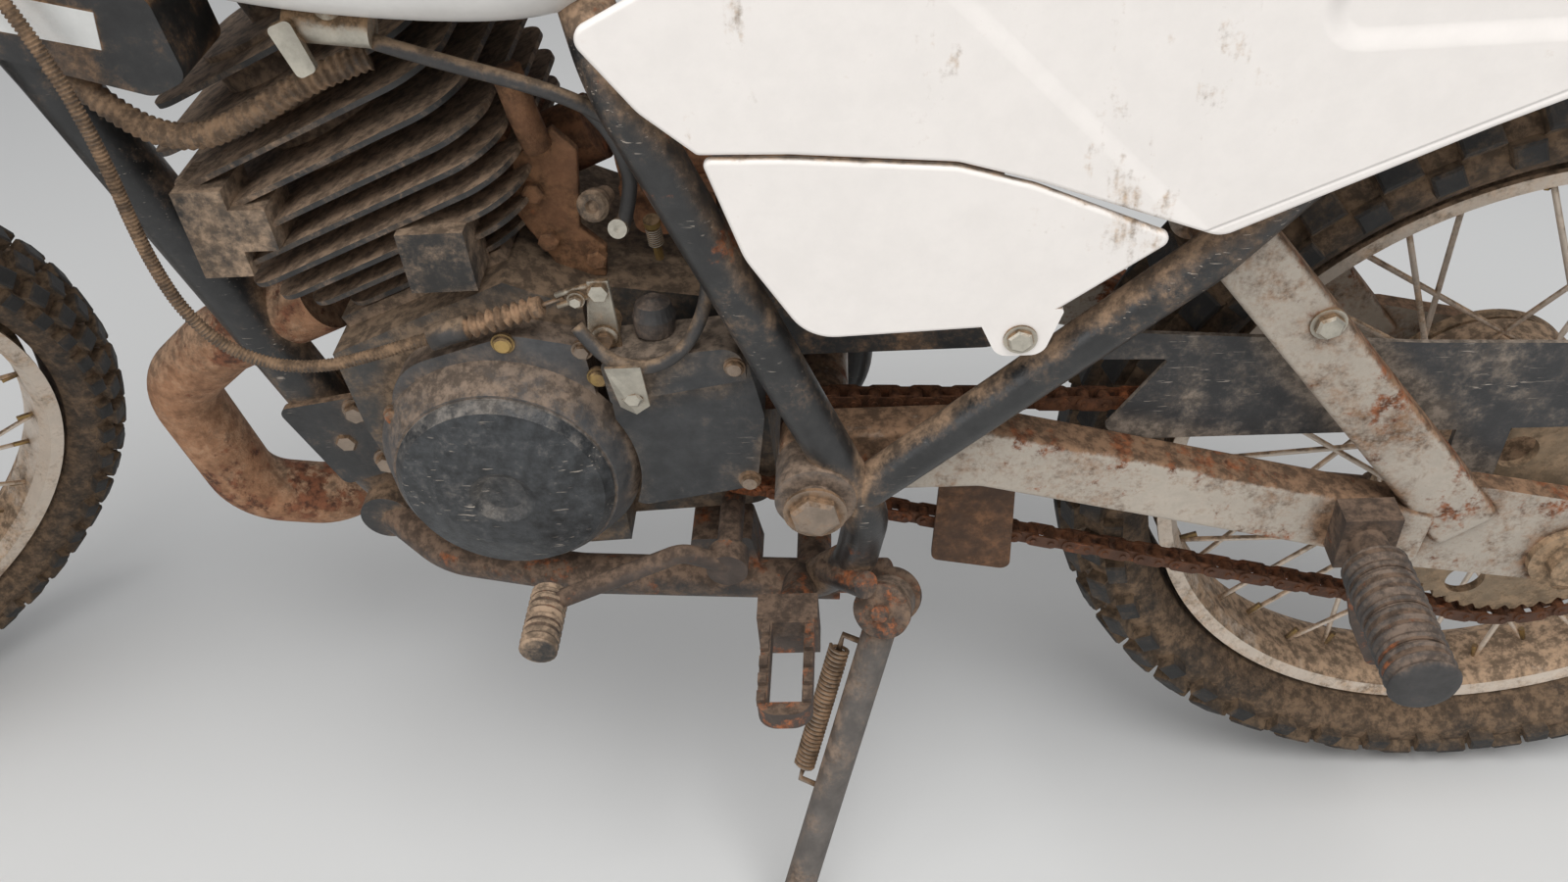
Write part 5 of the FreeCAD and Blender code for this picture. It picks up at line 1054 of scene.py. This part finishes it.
# Bottle label: a pale plate stuck on the moulded bottle beside the frame. It is left bare,
# with nothing on it.
label_grey = worn_finish("label_grey", (0.62, 0.62, 0.60), dusty=0.25, rough=0.5,
                         coat_spread=0.04)
label = slab("bare_label", [(806, 688), (862, 703), (866, 725), (802, 707)], 92, 0.8, label_grey)
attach(label, "chassis")

# Seat: a cover of black vinyl with a fine grain, pressed out by the foam under it. It is full
# along the middle and held in at its lower edge, and its underside stays flat on its pan.
SEAT_SWELL = 0.007
SEAT_VOXEL = 0.006
SWELL_FRAMES = 20
seat_vinyl = worn_finish("seat_vinyl", (0.022, 0.022, 0.023), dusty=0.16, rough=0.45, grain=0.3,
                         upward=0.20)
dress(seat_vinyl, "seat")
seat_pad = frame["nodes"]["seat"].copy()
seat_pad.data = frame["nodes"]["seat"].data.copy()
seat_pad.name = "padded_seat"
scene.collection.objects.link(seat_pad)
seat_pad.parent = None
seat_pad.data.transform(frame["nodes"]["seat"].matrix_world)
seat_pad.matrix_world = Matrix.Identity(4)
remesh = seat_pad.modifiers.new("skin", "REMESH")
remesh.mode = "VOXEL"
remesh.voxel_size = SEAT_VOXEL
relax = seat_pad.modifiers.new("relax", "SMOOTH")
relax.iterations = 14
relax.factor = 0.7
settle(seat_pad)
at_rest = [vertex.co.copy() for vertex in seat_pad.data.vertices]
outward = [vertex.normal.copy() for vertex in seat_pad.data.vertices]
cover = seat_pad.modifiers.new("cover", "CLOTH")
cover.settings.quality = 5
cover.settings.use_pressure = True
cover.settings.uniform_pressure_force = 4
cover.settings.effector_weights.gravity = 0
cover.point_cache.frame_end = SWELL_FRAMES
for step in range(1, SWELL_FRAMES + 1):
    scene.frame_set(step)
settle(seat_pad)
scene.frame_set(1)
up = parked.to_3x3() @ Vector((0, 0, 1))
for vertex, start, normal in zip(seat_pad.data.vertices, at_rest, outward):
    move = vertex.co - start
    if move.length > SEAT_SWELL:
        move *= SEAT_SWELL / move.length
    open_side = min(1.0, max(0.0, 0.6 + normal.dot(up)))
    vertex.co = start + move * open_side
seat_pad.data.shade_smooth()
seat_pad.data.materials.clear()
seat_pad.data.materials.append(seat_vinyl)
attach(seat_pad, "chassis")
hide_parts("seat")


# Lenses: the headlamp's glass, the amber lenses of the indicators and the red tail lens are
# moulded clear or tinted and set into their housings.
def lens_finish(name, colour, rough=0.15):
    """A clear or tinted lens."""
    material = bpy.data.materials.new(name)
    material.use_nodes = True
    shader = material.node_tree.nodes["Principled BSDF"]
    shader.inputs["Base Color"].default_value = (*colour, 1)
    shader.inputs["Roughness"].default_value = rough
    shader.inputs["Transmission Weight"].default_value = 0.35
    return material


amber = lens_finish("amber_lens", (0.75, 0.24, 0.02))
red = lens_finish("red_lens", (0.50, 0.015, 0.01))
glass = lens_finish("lamp_glass", (0.80, 0.82, 0.82), 0.05)


def dome(name, centre, direction, radius, depth, material, base):
    """A shallow round lens on a flat back."""
    profile = [(0.0, radius)]
    for step in range(1, 8):
        slope = math.pi / 2 * step / 8
        profile.append((depth * math.sin(slope), radius * math.cos(slope)))
    piece = lathe(name, profile, material, facing(centre, direction), 32, base)
    piece.data.shade_smooth()
    return piece


lamp_glass = dome("headlamp_glass", (1162.2, 0, 868), (1, 0, 0), 70, 17, glass, steered)
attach(lamp_glass, "steering")
front_pods = [dome("front_indicator", (1124, side * 160, 866), (1, 0, 0), 26.5, 24, amber,
                   steered) for side in (1, -1)]
front_indicators = join_into("front_indicator_lenses", front_pods)
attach(front_indicators, "steering")
rear_pods = [dome("rear_indicator", (-336, side * 128, 706), (-1, 0, 0), 26.5, 24, amber,
                  parked) for side in (1, -1)]
rear_indicators = join_into("rear_indicator_lenses", rear_pods)
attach(rear_indicators, "chassis")
tail_lens = block("tail_lens", 0.072, 0.078, 0.012, 0.005, red)
tail_lens.data.transform(parked @ Matrix.Translation((-0.3740, 0, 0.6905))
                         @ Matrix(((0, 0, -1), (0, 1, 0), (1, 0, 0))).to_4x4())
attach(tail_lens, "chassis")
